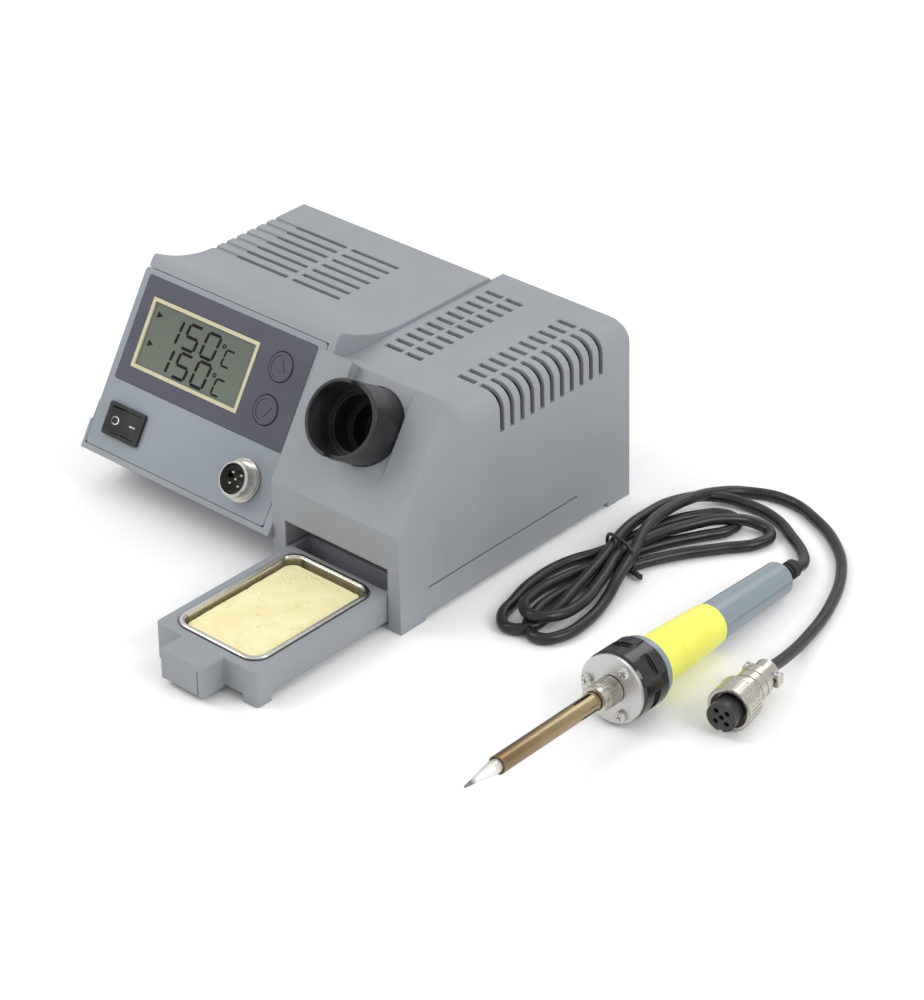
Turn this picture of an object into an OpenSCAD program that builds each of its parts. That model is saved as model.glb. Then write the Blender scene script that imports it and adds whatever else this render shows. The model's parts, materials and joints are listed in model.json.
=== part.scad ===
// Temperature-controlled soldering station with its iron, a clip-in tip holder and a sponge drawer.
// The origin is on the table, under the middle of the station. X is to the right, Y to the back.

/* [Station] */
// Width of the whole station
station_w = 186; // [165:1:230]
// Depth of the station at the table
station_d = 149; // [140:1:190]
// Wall of the moulded shells
wall = 2.2; // [1.6:0.1:3]
// Lean of the moulded sides, in mm for each mm of height
draft = 0.03; // [0:0.005:0.05]
// Height of the gap between the feet under the shells
foot_h = 2.3; // [1.5:0.1:4]

/* [Holder block] */
// Width of the block on the right, which holds the iron and the drawer
block_w = 72; // [66:1:90]
// Height of the crease where the upright front starts to lean back
crease_h = 45.5; // [40:0.5:55]
// Height of the brow, the top front edge
brow_h = 94.7; // [88:0.5:115]
// How far back the leaning face runs
face_run = 31.7; // [25:0.5:40]
// Height of the flat top
block_h = 84.7; // [78:0.5:100]
// Length of the sweep from the brow down to the flat top
brow_sweep = 20; // [14:1:30]
// Radius of the shoulder along the flat top
shoulder_r = 8; // [3:0.5:12]
// Rows of vents
vent_rows = 11; // [4:1:11]
// Distance between the rows of vents
vent_pitch = 6.4; // [5:0.1:6.4]
// Width of a vent
vent_w = 2.7; // [1.5:0.1:3.2]

/* [Housing] */
// Height of the flat top of the left housing
hood_h = 86.2; // [80:0.5:105]
// Length of the sweep behind the panel
hood_sweep = 36; // [20:1:45]
// How much shorter than the block the housing is at the back
rear_step = 10; // [0:1:20]
// Number of long vents
slot_rows = 7; // [3:1:7]

/* [Panel] */
// Width of the front panel plate
panel_w = 108.2; // [104:0.5:112]
// Height of the front panel plate, along its slope
panel_h = 81.6; // [80:0.5:88]
// Angle at which the panel leans back
panel_lean = 31.2; // [25:0.5:35]
// Thickness of the plate
panel_t = 2.4; // [1.6:0.1:3]
// Diameter of a key
key_d = 12.8; // [10:0.1:14]
// Travel of a key
key_travel = 0.8; // [0.5:0.1:1]
// Diameter of the socket's threaded barrel
socket_d = 15.8; // [12:0.1:16]
// How far the barrel stands out of the panel
socket_out = 7.5; // [5:0.5:10]

/* [Drawer] */
// Width of the drawer
drawer_w = 56.6; // [50:0.5:57]
// Length of the drawer
drawer_l = 90; // [80:1:100]
// Height of the drawer's rim over the table
drawer_h = 16.6; // [13:0.5:22]
// How far the drawer is pulled out
drawer_out = 76; // [40:1:80]
// Width of the sponge tin at its rim
tin_w = 47.5; // [36:0.5:48]
// Length of the sponge tin at its rim
tin_l = 70.5; // [50:0.5:72]

/* [Holder] */
// Outer radius of the tip holder
holder_r = 16.8; // [14:0.1:17]
// How far the holder stands out of the leaning face
holder_out = 15; // [10:0.5:20]

/* [Iron] */
// Radius of the barrel
barrel_r = 3.9; // [3.5:0.1:4.3]
// Length of the barrel from its front rim to its nut
barrel_l = 64.5; // [50:0.5:80]
// Radius of the black collar
collar_r = 15; // [13:0.5:18]
// Length of the foam grip
grip_l = 44; // [35:1:60]
// Length of the bare handle behind the grip
handle_l = 52; // [40:1:70]
// Radius of the handle at its back end
handle_end_r = 7.5; // [6:0.1:8.5]
// Diameter of the cord
cord_d = 5; // [4:0.1:6]

/* [Hidden] */
$fn = 48;
eps = 0.01;

// Colours of the real finishes.
c_shell = "#9a9fa3";
c_slate = "#5b5d69";
c_black = "#1b1b1d";
c_steel = "#c9cacc";
c_brass = "#a58a5e";
c_board = "#2f6b45";
c_copper = "#b0713c";
c_yellow = "#ecea63";
c_handle = "#7f8d98";

// Planes that the station is laid out from.
front_y = -station_d / 2;
rear_y = station_d / 2;
left_x = -station_w / 2;
right_x = station_w / 2;
seam_x = right_x - block_w;
hood_rear = station_d - rear_step;

// ---- holder block -------------------------------------------------------------------------------
face_slope = (brow_h - crease_h) / face_run;
face_lean = atan(face_run / (brow_h - crease_h));
face_len = norm([face_run, brow_h - crease_h]);
face_k = sqrt(1 + face_slope * face_slope);
edge_r = 2;

// Height of the block's outside, y mm behind its front.
function sweep(y, from, run, high, low) =
    y >= from + run ? low : low + (high - low) * pow(1 - (y - from) / run, 2);
function block_top(y) =
    y < face_run ? crease_h + face_slope * y : sweep(y, face_run, brow_sweep, brow_h, block_h);
function block_inner(y) =
    min(crease_h + face_slope * y - wall * face_k,
        sweep(max(y, face_run), face_run, brow_sweep, brow_h, block_h) - wall);
function ease(s) = s <= 0 ? 0 : s >= 1 ? 1 : s * s * (3 - 2 * s);
function shoulder(y) = edge_r + (shoulder_r - edge_r) * ease((y - face_run) / brow_sweep);

// One cross-section of the block: left wall upright, right side drafted, right shoulder rounded.
function section(y, top, r, e, bottom) =
    let (xl = seam_x + e, cx = right_x - e - draft * top - r)
    concat([[xl, y, bottom], [right_x - e - draft * bottom, y, bottom]],
        [for (a = [0:15:90]) [cx + r * cos(a), y, top - r + r * sin(a)]],
        [[xl, y, top]]);

// Skin over sections that all have the same number of points.
module loft(rows) {
    n = len(rows[0]);
    m = len(rows);
    polyhedron(
        points = [for (row = rows) for (p = row) [p[0], p[1] + front_y, p[2]]],
        faces = concat(
            [[for (j = [n - 1:-1:0]) j]],
            [for (i = [0:m - 2]) for (j = [0:n - 1])
                [i * n + j, i * n + (j + 1) % n, (i + 1) * n + (j + 1) % n, (i + 1) * n + j]],
            [[for (j = [0:n - 1]) (m - 1) * n + j]]));
}

sweep_steps = 10;
outer_rows = concat([0, face_run * 0.5], [for (i = [0:sweep_steps]) face_run + i * brow_sweep / sweep_steps],
    [station_d - edge_r]);
inner_meet = (brow_h - wall - crease_h + wall * face_k) / face_slope;
inner_rows = concat([wall], [inner_meet],
    [for (i = [1:sweep_steps]) inner_meet + i * (face_run + brow_sweep - inner_meet) / sweep_steps],
    [station_d - wall]);

module block_outside() {
    loft(concat(
        [for (y = outer_rows) section(y, block_top(y), shoulder(y), 0, 0)],
        [section(station_d, block_h - edge_r, shoulder_r, 0, 0)]));
}

module block_inside() {
    loft([for (y = inner_rows)
        section(y, block_inner(y), max(0.6, shoulder(y) - wall), wall, -1)]);
}

// Frame of the leaning face: x across, y up the slope from the crease, z straight out of the face.
holder_x = seam_x + block_w * 0.487;
holder_up = face_len * 0.63;
module on_face() {
    translate([holder_x, front_y, crease_h]) rotate([90 - face_lean, 0, 0]) children();
}

recess_w = 2 * holder_r + 1;
recess_from = 18;
recess_deep = 6.5;
ramp_from = recess_from - (face_len + 8 - recess_from) / recess_deep;
// Space of the recess, whose floor slopes down to the top; grown, it is the recess with its walls.
module recess(grow) {
    deep = recess_deep + grow;
    rotate([90, 0, 90]) translate([0, 0, -recess_w / 2 - grow])
        linear_extrude(recess_w + 2 * grow)
            polygon(concat([[ramp_from, 1], [face_len + 8, 1], [face_len + 8, -deep]],
                grow > 0 ? [[recess_from - 2 * grow, -grow * 0.6], [ramp_from, -grow * 0.6]] : []));
}

drawer_x = seam_x + block_w / 2;
drawer_gap = 0.5;
drawer_floor = foot_h + 1.4;
opening_h = drawer_h + 12.3;
foot_l = 15;

// The two groups of vents, measured from the block's right side: [far end, near end] of each slot.
vent_from = 65.5;
vent_cols = [[66.9, 57.4], [55.5, 46.3], [26.3, 16.6]];
wrap_from = 14.3;
wrap_low = 67;
vent_end = vent_from + (vent_rows - 1) * vent_pitch;
line_h = 1;
line_z = 14.7;

module vents() {
    for (i = [0:vent_rows - 1]) {
        y = front_y + vent_from + i * vent_pitch - vent_w / 2;
        for (c = vent_cols)
            translate([right_x - c[0], y, block_h - 2 * wall - 1]) cube([c[0] - c[1], vent_w, 3 * wall + 4]);
        translate([right_x - wrap_from, y, wrap_low]) cube([wrap_from + 2, vent_w, block_h]);
    }
}

seam_screw_at = [[65, 22], [118, 22], [118, 66]];
screw_r = 1.5;

module holder_cover() {
    color(c_shell) difference() {
        block_outside();
        difference() {
            block_inside();
            on_face() recess(wall);
        }
        on_face() recess(0);
        on_face() translate([0, holder_up, -20]) cylinder(r = holder_r + 0.2, h = 40);
        vents();
        // Drawer opening.
        translate([drawer_x - drawer_w / 2 - drawer_gap, front_y - 1, -1])
            cube([drawer_w + 2 * drawer_gap, wall + 2, opening_h + 1]);
        // Gaps between the feet.
        translate([seam_x - 1, front_y + foot_l, -1])
            cube([block_w + 2, station_d - 2 * foot_l, foot_h + 1]);
        translate([seam_x + foot_l, rear_y - wall - 2, -1])
            cube([block_w - 2 * foot_l, wall + 4, foot_h + 1]);
        // Long thin line along the right side.
        translate([right_x - 2 * wall, front_y + 17.7, line_z - line_h / 2])
            cube([3 * wall, station_d * 0.64, line_h]);
        for (p = seam_screw_at)
            translate([seam_x - 1, front_y + p[0], p[1]]) rotate([0, 90, 0])
                cylinder(r = screw_r, h = wall + 2);
    }
}

// ---- bay inside the block, which guides the drawer and carries the transformer --------------------
bay_wall = 1.9;
bay_in = drawer_w / 2 + 0.7;
bay_roof = opening_h + 1.1;
bay_len = drawer_l + 3;
shelf_l = station_d - 2 * wall;
shelf_t = 2;
shelf_right = right_x - wall - draft * (bay_roof + shelf_t) - 0.3;
ledge_from = 20;

core_w = 34;
coil_over = 4;
strap_half = core_w / 2 + coil_over + 0.2;
core_l = 48;
core_h = 32;
core_x = drawer_x;
core_y = rear_y - wall - core_l / 2 - 4;
core_z = bay_roof + shelf_t;
strap_t = 0.8;
core_screw_at = [for (s = [-1, 1]) [core_x + s * (strap_half + 4.6), core_y]];

module drawer_bay() {
    color(c_shell) union() {
        for (s = [-1, 1]) {
            translate([drawer_x + s * (bay_in + bay_wall / 2) - bay_wall / 2, front_y + wall, foot_h])
                cube([bay_wall, bay_len - wall, bay_roof - foot_h + 1]);
            translate([drawer_x + s * (bay_in - 2) - 2.4, front_y + ledge_from, foot_h - 1.5])
                cube([4.8, bay_len - ledge_from, drawer_floor - 0.3 - foot_h + 1.5]);
            translate([drawer_x + s * (bay_in + bay_wall / 2) - bay_wall / 2, front_y + ledge_from,
                foot_h - 1.5])
                cube([bay_wall, bay_len - ledge_from, 3]);
        }
        translate([drawer_x - bay_in - bay_wall, front_y + bay_len, foot_h])
            cube([2 * (bay_in + bay_wall), bay_wall, bay_roof - foot_h + 1]);
        difference() {
            translate([seam_x + wall, front_y + wall, bay_roof])
                cube([shelf_right - seam_x - wall, shelf_l, shelf_t]);
            for (p = core_screw_at)
                translate([p[0], p[1], bay_roof - 1]) cylinder(r = 1.25, h = 4);
        }
        translate([seam_x + wall + 4, rear_y - wall - bay_wall, foot_h])
            cube([block_w - 2 * wall - 10, bay_wall, bay_roof - foot_h + 1]);
    }
}

// ---- transformer on the shelf --------------------------------------------------------------------

module transformer_core() {
    color("#4a4b50") difference() {
        translate([core_x - core_w / 2, core_y - core_l / 2, core_z]) cube([core_w, core_l, core_h]);
        for (s = [-1, 1])
            translate([core_x - core_w / 2 - 1, core_y + s * core_l / 4 - core_l / 12, core_z + 6])
                cube([core_w + 2, core_l / 6, core_h - 12]);
    }
}

// The winding fills the two windows of the core and stands out on both sides.
module transformer_coil() {
    win_h = core_h - 12.4;
    color("#d8c48a") difference() {
        translate([core_x - core_w / 2 - coil_over, core_y - core_l / 3 + 0.2, core_z + 6.2])
            cube([core_w + 2 * coil_over, core_l * 2 / 3 - 0.4, win_h]);
        translate([core_x - core_w / 2 - 0.2, core_y - core_l / 6 - 0.2, core_z])
            cube([core_w + 0.4, core_l / 3 + 0.4, core_h]);
    }
}

// Strap over the core with a foot on each side.
module transformer_bracket() {
    color(c_steel) difference() {
        union() {
            translate([core_x - strap_half - strap_t, core_y - 5, core_z + core_h])
                cube([2 * (strap_half + strap_t), 10, strap_t]);
            for (s = [-1, 1]) {
                translate([core_x + s * (strap_half + strap_t / 2) - strap_t / 2, core_y - 5, core_z])
                    cube([strap_t, 10, core_h + strap_t]);
                translate([core_x + s * (strap_half + 4.3) - 4.3, core_y - 5, core_z])
                    cube([8.6, 10, strap_t]);
            }
        }
        for (p = core_screw_at) translate([p[0], p[1], core_z - 1]) cylinder(r = 1.7, h = 4);
    }
}

module transformer_screws() {
    color(c_steel) for (p = core_screw_at) translate([p[0], p[1], core_z + strap_t]) pan_screw(1.2, 2.8, 4);
}

// Cross-head pan screw along -Z, its head standing on z = 0.
module pan_screw(r, head_r, long) {
    difference() {
        union() {
            cylinder(r = head_r, h = head_r * 0.5);
            translate([0, 0, head_r * 0.5]) cylinder(r1 = head_r, r2 = head_r * 0.6, h = head_r * 0.25);
            translate([0, 0, -long]) cylinder(r = r, h = long + eps);
        }
        for (a = [0, 90]) rotate([0, 0, a])
            translate([-head_r * 0.55, -head_r * 0.12, head_r * 0.4])
                cube([head_r * 1.1, head_r * 0.24, head_r]);
    }
}

// ---- left housing --------------------------------------------------------------------------------
panel_y = -1.9;
panel_z = 22;
panel_x = (left_x + seam_x) / 2 - 1.2;
bezel_top = 5.4;
lip = 2.8;
lip_side = 10;
skin = 0.5;
// A point of the side view, t mm up the panel and out mm in front of it: [y from the front, z].
function slope(t, out) =
    [panel_y + t * sin(panel_lean) - out * cos(panel_lean),
        panel_z + t * cos(panel_lean) + out * sin(panel_lean)];
split_z = slope(lip_side, 0)[1];
floor_z = 3.5;
tray_t = 2.2;
crest = slope(panel_h + bezel_top, 0);
sweep_from = crest[0] + 2;
hood_left = left_x + 1.2;

module on_panel() {
    translate([panel_x, front_y + panel_y, panel_z]) rotate([90 - panel_lean, 0, 0]) children();
}

// Extrudes a side view, given as [y from the front, z], from x = a to x = b.
module side_view(a, b) {
    translate([a, front_y, 0]) rotate([90, 0, 90]) linear_extrude(b - a) children();
}

undercut = (panel_z - lip * cos(panel_lean) - floor_z) / sin(panel_lean);
module tray_profile(e) {
    toe = slope(-lip, 0);
    heel = [toe[0] + undercut * cos(panel_lean), floor_z];
    polygon([
        [toe[0] + e * 1.4, toe[1] + e * 0.5],
        [heel[0] + e * 0.4, heel[1] + e],
        [hood_rear - e, floor_z + e],
        [hood_rear - e, split_z + (e > 0 ? 1 : 0)],
        slope(lip_side, -e) + [0, e > 0 ? 1 : 0]]);
}

board_x = (left_x + seam_x) / 2;
board_y = front_y + hood_rear * 0.57;
board_z = floor_z + tray_t + 6;
board_at = [for (sx = [-1, 1]) for (sy = [-1, 1]) [board_x + sx * 42, board_y + sy * 24]];
post_r = 3.6;
case_at = [for (x = [left_x + wall + post_r + 1.2, seam_x - wall - post_r - 0.2])
    for (y = [front_y + 54, front_y + hood_rear - 10]) [x, y]];
gland_x = left_x + 30;
gland_z = 17;
gland_r = 6;

module panel_slab(grow, deep) {
    translate([-panel_w / 2 - grow, -grow, -deep]) cube([panel_w + 2 * grow, panel_h + 2 * grow, deep + 3]);
}

module base_tray() {
    color(c_shell) difference() {
        union() {
            difference() {
                side_view(left_x, seam_x) tray_profile(0);
                side_view(left_x + wall + 1, seam_x - wall) tray_profile(tray_t);
            }
            for (p = board_at) translate([p[0], p[1], floor_z + 1])
                cylinder(r = 3.2, h = board_z - floor_z - 1);
        }
        on_panel() panel_slab(0.25, panel_t + 0.2);
        // Room for what hangs behind the lower edge of the plate.
        on_panel() translate([-panel_w / 2 + 6, 4, -30]) cube([panel_w - 12, 20, 30]);
        for (p = board_at) translate([p[0], p[1], floor_z + 2]) cylinder(r = 1.25, h = 12);
        for (p = case_at) translate([p[0], p[1], floor_z - 1]) cylinder(r = 1.8, h = tray_t + 2);
        translate([gland_x, front_y + hood_rear - wall - 3, gland_z]) rotate([-90, 0, 0])
            cylinder(r = gland_r + 0.1, h = wall + 5);
        for (p = seam_screw_at) if (p[1] < split_z)
            translate([seam_x - wall - 1, front_y + p[0], p[1]]) rotate([0, 90, 0])
                cylinder(r = screw_r + 0.2, h = wall + 2);
        // Air slits in the floor.
        for (i = [-3:3]) translate([board_x + i * 9 - 1.2, front_y + 30, floor_z - 1])
            cube([2.4, 24, tray_t + 2]);
    }
}

hood_steps = 12;
hood_edge = 1.4;
module hood_profile(e) {
    c = slope(panel_h + bezel_top, 0);
    start = slope(lip_side, 0);
    inner_top = slope(panel_h - 1, -1);
    polygon(concat(
        [e > 0 ? slope(lip_side - 3, -1) : start],
        e > 0 ? [inner_top] : [c - [hood_edge * 0.52, hood_edge * 0.86], c + [hood_edge * 0.5, 0.2]],
        [for (i = [0:hood_steps]) let (y = sweep_from + e * 0.6 + i * (hood_sweep - e * 0.6) / hood_steps)
            [y, sweep(y, sweep_from, hood_sweep, crest[1], hood_h) - e]],
        e > 0 ? [[hood_rear - e, hood_h - e], [hood_rear - e, split_z - 3]] :
            [[hood_rear - hood_edge, hood_h], [hood_rear, hood_h - hood_edge], [hood_rear, split_z]]));
}

slot_pitch = 6.28;
slot_w = 2.3;
slot_from = 80.5;
slot_right = seam_x - 35.5;
slot_open = left_x + 16;
slot_bridge = left_x + 49;

module hood_cover() {
    color(c_shell) difference() {
        union() {
            difference() {
                intersection() {
                    side_view(hood_left, seam_x) hood_profile(0);
                    // Drafted left side.
                    translate([hood_left, front_y - 20, split_z]) rotate([0, atan(draft), 0])
                        translate([0, 0, -20]) cube([station_w, station_d + 40, 140]);
                }
                side_view(hood_left + wall + draft * (hood_h - split_z), seam_x - wall) hood_profile(wall);
            }
            // Ledges behind the plate, and posts for the case screws.
            intersection() {
                side_view(hood_left + wall, seam_x - wall + eps) hood_profile(0);
                on_panel() for (x = [-panel_w / 2 - 4, panel_w / 2 - 2])
                    translate([x, lip_side + 1, -panel_t - 3]) cube([7, panel_h - lip_side, 3]);
            }
            intersection() {
                side_view(hood_left + wall, seam_x - wall) hood_profile(0);
                for (p = case_at) translate([p[0], p[1], floor_z + tray_t]) cylinder(r = post_r, h = hood_h);
            }
            for (p = case_at) translate([p[0], p[1], floor_z + tray_t])
                cylinder(r = post_r, h = split_z - floor_z);
        }
        on_panel() panel_slab(0.25, panel_t);
        for (p = case_at) translate([p[0], p[1], 0]) cylinder(r = 1.3, h = 26);
        for (i = [0:slot_rows - 1]) {
            y = front_y + slot_from + i * slot_pitch - slot_w / 2;
            translate([slot_open, y, hood_h - 2 * wall])
                cube([slot_bridge - slot_open - 1.5, slot_w, 4 * wall]);
            translate([slot_bridge + 1.5, y, hood_h - 2 * wall])
                cube([slot_right - slot_bridge - 1.5, slot_w, 4 * wall]);
            // Shallow groove that carries the vent's line over the left edge.
            translate([left_x - 5, y, hood_h - 0.8]) cube([slot_open - left_x + 8, slot_w, 6]);
            translate([left_x - 5, y, hood_h - 7]) cube([4.2 + hood_left - left_x + draft * 55, slot_w, 12]);
        }
        for (p = seam_screw_at) if (p[1] > split_z)
            translate([seam_x - wall - 1, front_y + p[0], p[1]]) rotate([0, 90, 0])
                cylinder(r = screw_r + 0.2, h = wall + 2);
    }
}

module seam_screws() {
    color(c_steel) for (p = seam_screw_at)
        translate([seam_x - wall, front_y + p[0], p[1]]) rotate([0, -90, 0])
            pan_screw(screw_r - 0.05, 3, 2 * wall + 2);
}

module case_screws() {
    color(c_steel) for (p = case_at) translate([p[0], p[1], floor_z]) rotate([180, 0, 0])
        pan_screw(1.25, 3, 14);
}

// Four near the corners of the tray and one under the middle of the station.
feet_at = concat([[0, 0]],
    [for (x = [left_x + 14, seam_x - 14]) for (y = [front_y + 38, front_y + hood_rear - 26]) [x, y]]);
module rubber_feet() {
    color(c_black) for (p = feet_at) translate([p[0], p[1], 0]) cylinder(r1 = 5.4, r2 = 6.2, h = floor_z);
}

// Grommet of the mains lead, with the hole that the lead passes.
module cable_gland() {
    translate([gland_x, front_y + hood_rear, gland_z]) rotate([-90, 0, 0]) color(c_black) difference() {
        union() {
            translate([0, 0, -wall - 3]) cylinder(r = gland_r, h = wall + 4);
            cylinder(r = gland_r + 2, h = 2);
            translate([0, 0, 2]) cylinder(r1 = gland_r - 0.2, r2 = gland_r - 1.4, h = rear_step > 4 ? 7 : 2);
            translate([0, 0, -wall - 4.6]) cylinder(r = gland_r + 1, h = 1.6);
        }
        translate([0, 0, -12]) cylinder(r = 3.5, h = 40);
    }
}

// ---- boards --------------------------------------------------------------------------------------
module main_board() {
    color(c_board) difference() {
        translate([board_x - 45, board_y - 28, board_z]) cube([90, 56, 1.6]);
        for (p = board_at) translate([p[0], p[1], board_z - 1]) cylinder(r = 1.6, h = 4);
    }
}

board_top = board_z + 1.6;
module board_screws() {
    color(c_steel) for (p = board_at) translate([p[0], p[1], board_top]) pan_screw(1.2, 2.6, 6);
}

module heat_sink() {
    color("#8f9296") translate([board_x + 8, board_y - 4, board_top]) union() {
        cube([26, 2, 28]);
        for (i = [0:6]) translate([i * 4, 1.9, 3]) cube([1.2, 8, 25]);
    }
}

module triac() {
    color(c_black) translate([board_x + 16, board_y - 8.6, board_top]) union() {
        translate([0, 0, 4]) cube([10, 4.6, 9]);
        translate([0, 3.4, 13]) cube([10, 1.2, 6]);
        for (i = [0:2]) translate([1.6 + i * 2.6, 2, 0]) cube([1, 0.8, 4.1]);
    }
}

module capacitors() {
    color("#27364f") for (p = [[-30, 12, 8, 25], [-10, 14, 5, 20], [-32, -10, 4, 14]])
        translate([board_x + p[0], board_y + p[1], board_top]) union() {
            cylinder(r = p[2], h = p[3]);
            translate([0, 0, p[3]]) cylinder(r = p[2] - 0.8, h = 0.4);
        }
}

module board_fuse() {
    color("#d5d0c0") translate([board_x - 12, board_y - 16, board_top]) union() {
        for (s = [0, 18]) difference() {
            translate([s - 2, -3.4, 0]) cube([4, 6.8, 7.4]);
            translate([s - 3, 0, 4.2]) rotate([0, 90, 0]) cylinder(r = 2.6, h = 6);
            translate([s - 3, -1.6, 4.2]) cube([6, 3.2, 6]);
        }
        translate([-2, 0, 4.2]) rotate([0, 90, 0]) cylinder(r = 2.6, h = 22);
    }
}

// ---- front panel ---------------------------------------------------------------------------------
over_w = 100.2;
over_h = 47.4;
over_x = -0.4;
over_y = panel_h * 0.675;
over_t = 0.6;
lcd_w = 64;
lcd_h = 32;
lcd_x = -12;
lcd_y = over_y - 0.4;
lcd_rim = 1.7;
key_x = 34.6;
key_y = [over_y + 9.6, over_y - 9.7];
key_gap = 0.4;
rocker_x = -35.7;
rocker_y = 14.4;
rocker_w = 21.4;
rocker_h = 14.9;
socket_x = 36;
socket_y = 14.2;
board_back = -12;

// Rounded rectangle about the origin.
module plate(w, h, r) {
    square([w - 2 * r, h], center = true);
    square([w, h - 2 * r], center = true);
    for (sx = [-1, 1]) for (sy = [-1, 1]) translate([sx * (w / 2 - r), sy * (h / 2 - r)]) circle(r = r);
}

module control_panel() {
    on_panel() color(c_shell) difference() {
        translate([0, panel_h / 2, -panel_t]) linear_extrude(panel_t) plate(panel_w, panel_h, 2);
        translate([over_x, over_y, -over_t]) linear_extrude(2) plate(over_w + 0.3, over_h + 0.3, 1.05);
        translate([lcd_x, lcd_y, -5]) linear_extrude(8) square([lcd_w + 0.3, lcd_h + 0.3], center = true);
        for (y = key_y) translate([key_x, y, -5]) cylinder(r = key_d / 2 + key_gap, h = 8);
        translate([rocker_x, rocker_y, -5]) linear_extrude(8) square([19.4, 12.9], center = true);
        translate([socket_x, socket_y, -5]) cylinder(r = socket_d / 2 + 0.1, h = 8);
    }
}

module keypad_overlay() {
    on_panel() color(c_slate) difference() {
        translate([over_x, over_y, -over_t]) linear_extrude(over_t + 0.1) plate(over_w, over_h, 0.9);
        translate([lcd_x, lcd_y, -2]) linear_extrude(4) square([lcd_w + 0.3, lcd_h + 0.3], center = true);
        for (y = key_y) translate([key_x, y, -2]) cylinder(r = key_d / 2 + key_gap, h = 4);
    }
}

module lcd_frame() {
    on_panel() color("#cfc9a2") translate([lcd_x, lcd_y, -6]) linear_extrude(6.3) difference() {
        square([lcd_w, lcd_h], center = true);
        square([lcd_w - 2 * lcd_rim, lcd_h - 2 * lcd_rim], center = true);
    }
}

glass_top = -0.5;
module lcd_glass() {
    on_panel() color("#9aa191") union() {
        translate([lcd_x, lcd_y, -6]) linear_extrude(6 + glass_top)
            square([lcd_w - 2 * lcd_rim - 0.1, lcd_h - 2 * lcd_rim - 0.1], center = true);
        translate([lcd_x, lcd_y, board_back + 1.6]) linear_extrude(-6 - board_back - 1.6)
            square([lcd_w, lcd_h], center = true);
    }
}

// Seven-segment digits: segments a to g, as bits of a code, in a box seg_w wide and seg_h high.
seg_w = 7.2;
seg_h = 11;
seg_t = 1.3;
digit_step = 11.2;
row_step = 13;
reading_x = -20.3;
module bar(w) {
    polygon([[0.25, 0], [0.8, seg_t / 2], [w - 0.8, seg_t / 2], [w - 0.25, 0], [w - 0.8, -seg_t / 2],
        [0.8, -seg_t / 2]]);
}
module digit(lit) {
    half = seg_h / 2;
    if (lit[0]) translate([0, seg_h]) bar(seg_w);
    if (lit[1]) translate([seg_w, seg_h]) rotate(-90) bar(half);
    if (lit[2]) translate([seg_w, half]) rotate(-90) bar(half);
    if (lit[3]) bar(seg_w);
    if (lit[4]) translate([0, half]) rotate(-90) bar(half);
    if (lit[5]) translate([0, seg_h]) rotate(-90) bar(half);
    if (lit[6]) translate([0, half]) bar(seg_w);
}
module reading() {
    digit([0, 1, 1, 0, 0, 0, 0]);
    translate([digit_step, 0]) digit([1, 0, 1, 1, 0, 1, 1]);
    translate([2 * digit_step, 0]) digit([1, 1, 1, 1, 1, 1, 0]);
    // Degree ring and the letter C of the unit.
    translate([3 * digit_step - 0.6, seg_h - 3]) difference() {
        circle(r = 1, $fn = 24);
        circle(r = 0.5, $fn = 24);
    }
    translate([3 * digit_step + 1.5, 0]) scale(0.65) digit([1, 0, 0, 1, 1, 1, 0]);
    // Plain bar that marks the row.
    translate([-8.2, seg_h - 2.6]) square([5.4, 1.2]);
}

module lcd_digits() {
    on_panel() color(c_black) for (row = [0, 1])
        translate([lcd_x + reading_x, lcd_y + 0.2 - row_step * row, glass_top]) linear_extrude(0.15)
            multmatrix([[1, 0.12, 0, 0], [0, 1, 0, 0], [0, 0, 1, 0], [0, 0, 0, 1]]) reading();
}

module display_board() {
    on_panel() color(c_board) translate([over_x, over_y, board_back]) linear_extrude(1.6)
        square([over_w - 4, over_h - 2], center = true);
}

switch_top = -6.1;
module key_switches() {
    on_panel() color(c_black) for (y = key_y) translate([key_x, y, 0]) union() {
        translate([-3, -3, board_back + 1.6]) cube([6, 6, 3.4]);
        translate([0, 0, board_back + 4.9]) cylinder(r = 1.7, h = switch_top - board_back - 4.9);
    }
}

// Key cap with a raised triangle; the stem stops one travel above its switch.
module key_cap(turn) {
    top = 0.7;
    difference() {
        union() {
            translate([0, 0, -2.6]) cylinder(r = key_d / 2, h = 2.6 + top - 0.4);
            translate([0, 0, top - 0.4]) cylinder(r1 = key_d / 2, r2 = key_d / 2 - 0.4, h = 0.4);
            translate([0, 0, switch_top + key_travel + 0.1])
                cylinder(r = 2, h = -2.6 - switch_top - key_travel);
            translate([0, 0, -3.4]) cylinder(r = key_d / 2 + 1, h = 0.9);
        }
        translate([0, 0, top - 0.35]) difference() {
            cylinder(r = key_d / 2 - 1.3, h = 1);
            translate([0, 0, -1]) rotate(turn) linear_extrude(3)
                polygon([[-2.9, -1.9], [2.9, -1.9], [0, 3.1]]);
        }
    }
}
module button_up() {
    on_panel() color(c_slate) translate([key_x, key_y[0], 0]) key_cap(0);
}
module button_down() {
    on_panel() color(c_slate) translate([key_x, key_y[1], 0]) key_cap(180);
}

rock_axis_z = -2;
rock_angle = 10;
rock_w = 16.4;
rock_h = 10.6;
module rocker_frame() {
    on_panel() color(c_black) translate([rocker_x, rocker_y, 0]) difference() {
        union() {
            translate([0, 0, eps]) linear_extrude(1.6) plate(rocker_w, rocker_h, 1.2);
            translate([0, 0, -15]) linear_extrude(15 + 2 * eps) plate(19, 12.6, 0.8);
            for (i = [-1, 1]) translate([i * 5 - 0.4, -2.4, -21]) cube([0.8, 4.8, 6.5]);
        }
        translate([0, 0, -8]) linear_extrude(12) square([rock_w + 0.9, rock_h + 0.7], center = true);
        translate([0, 0, rock_axis_z]) rotate([90, 0, 0])
            cylinder(r = 0.85, h = rock_h + 1.6, center = true);
    }
}
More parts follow.
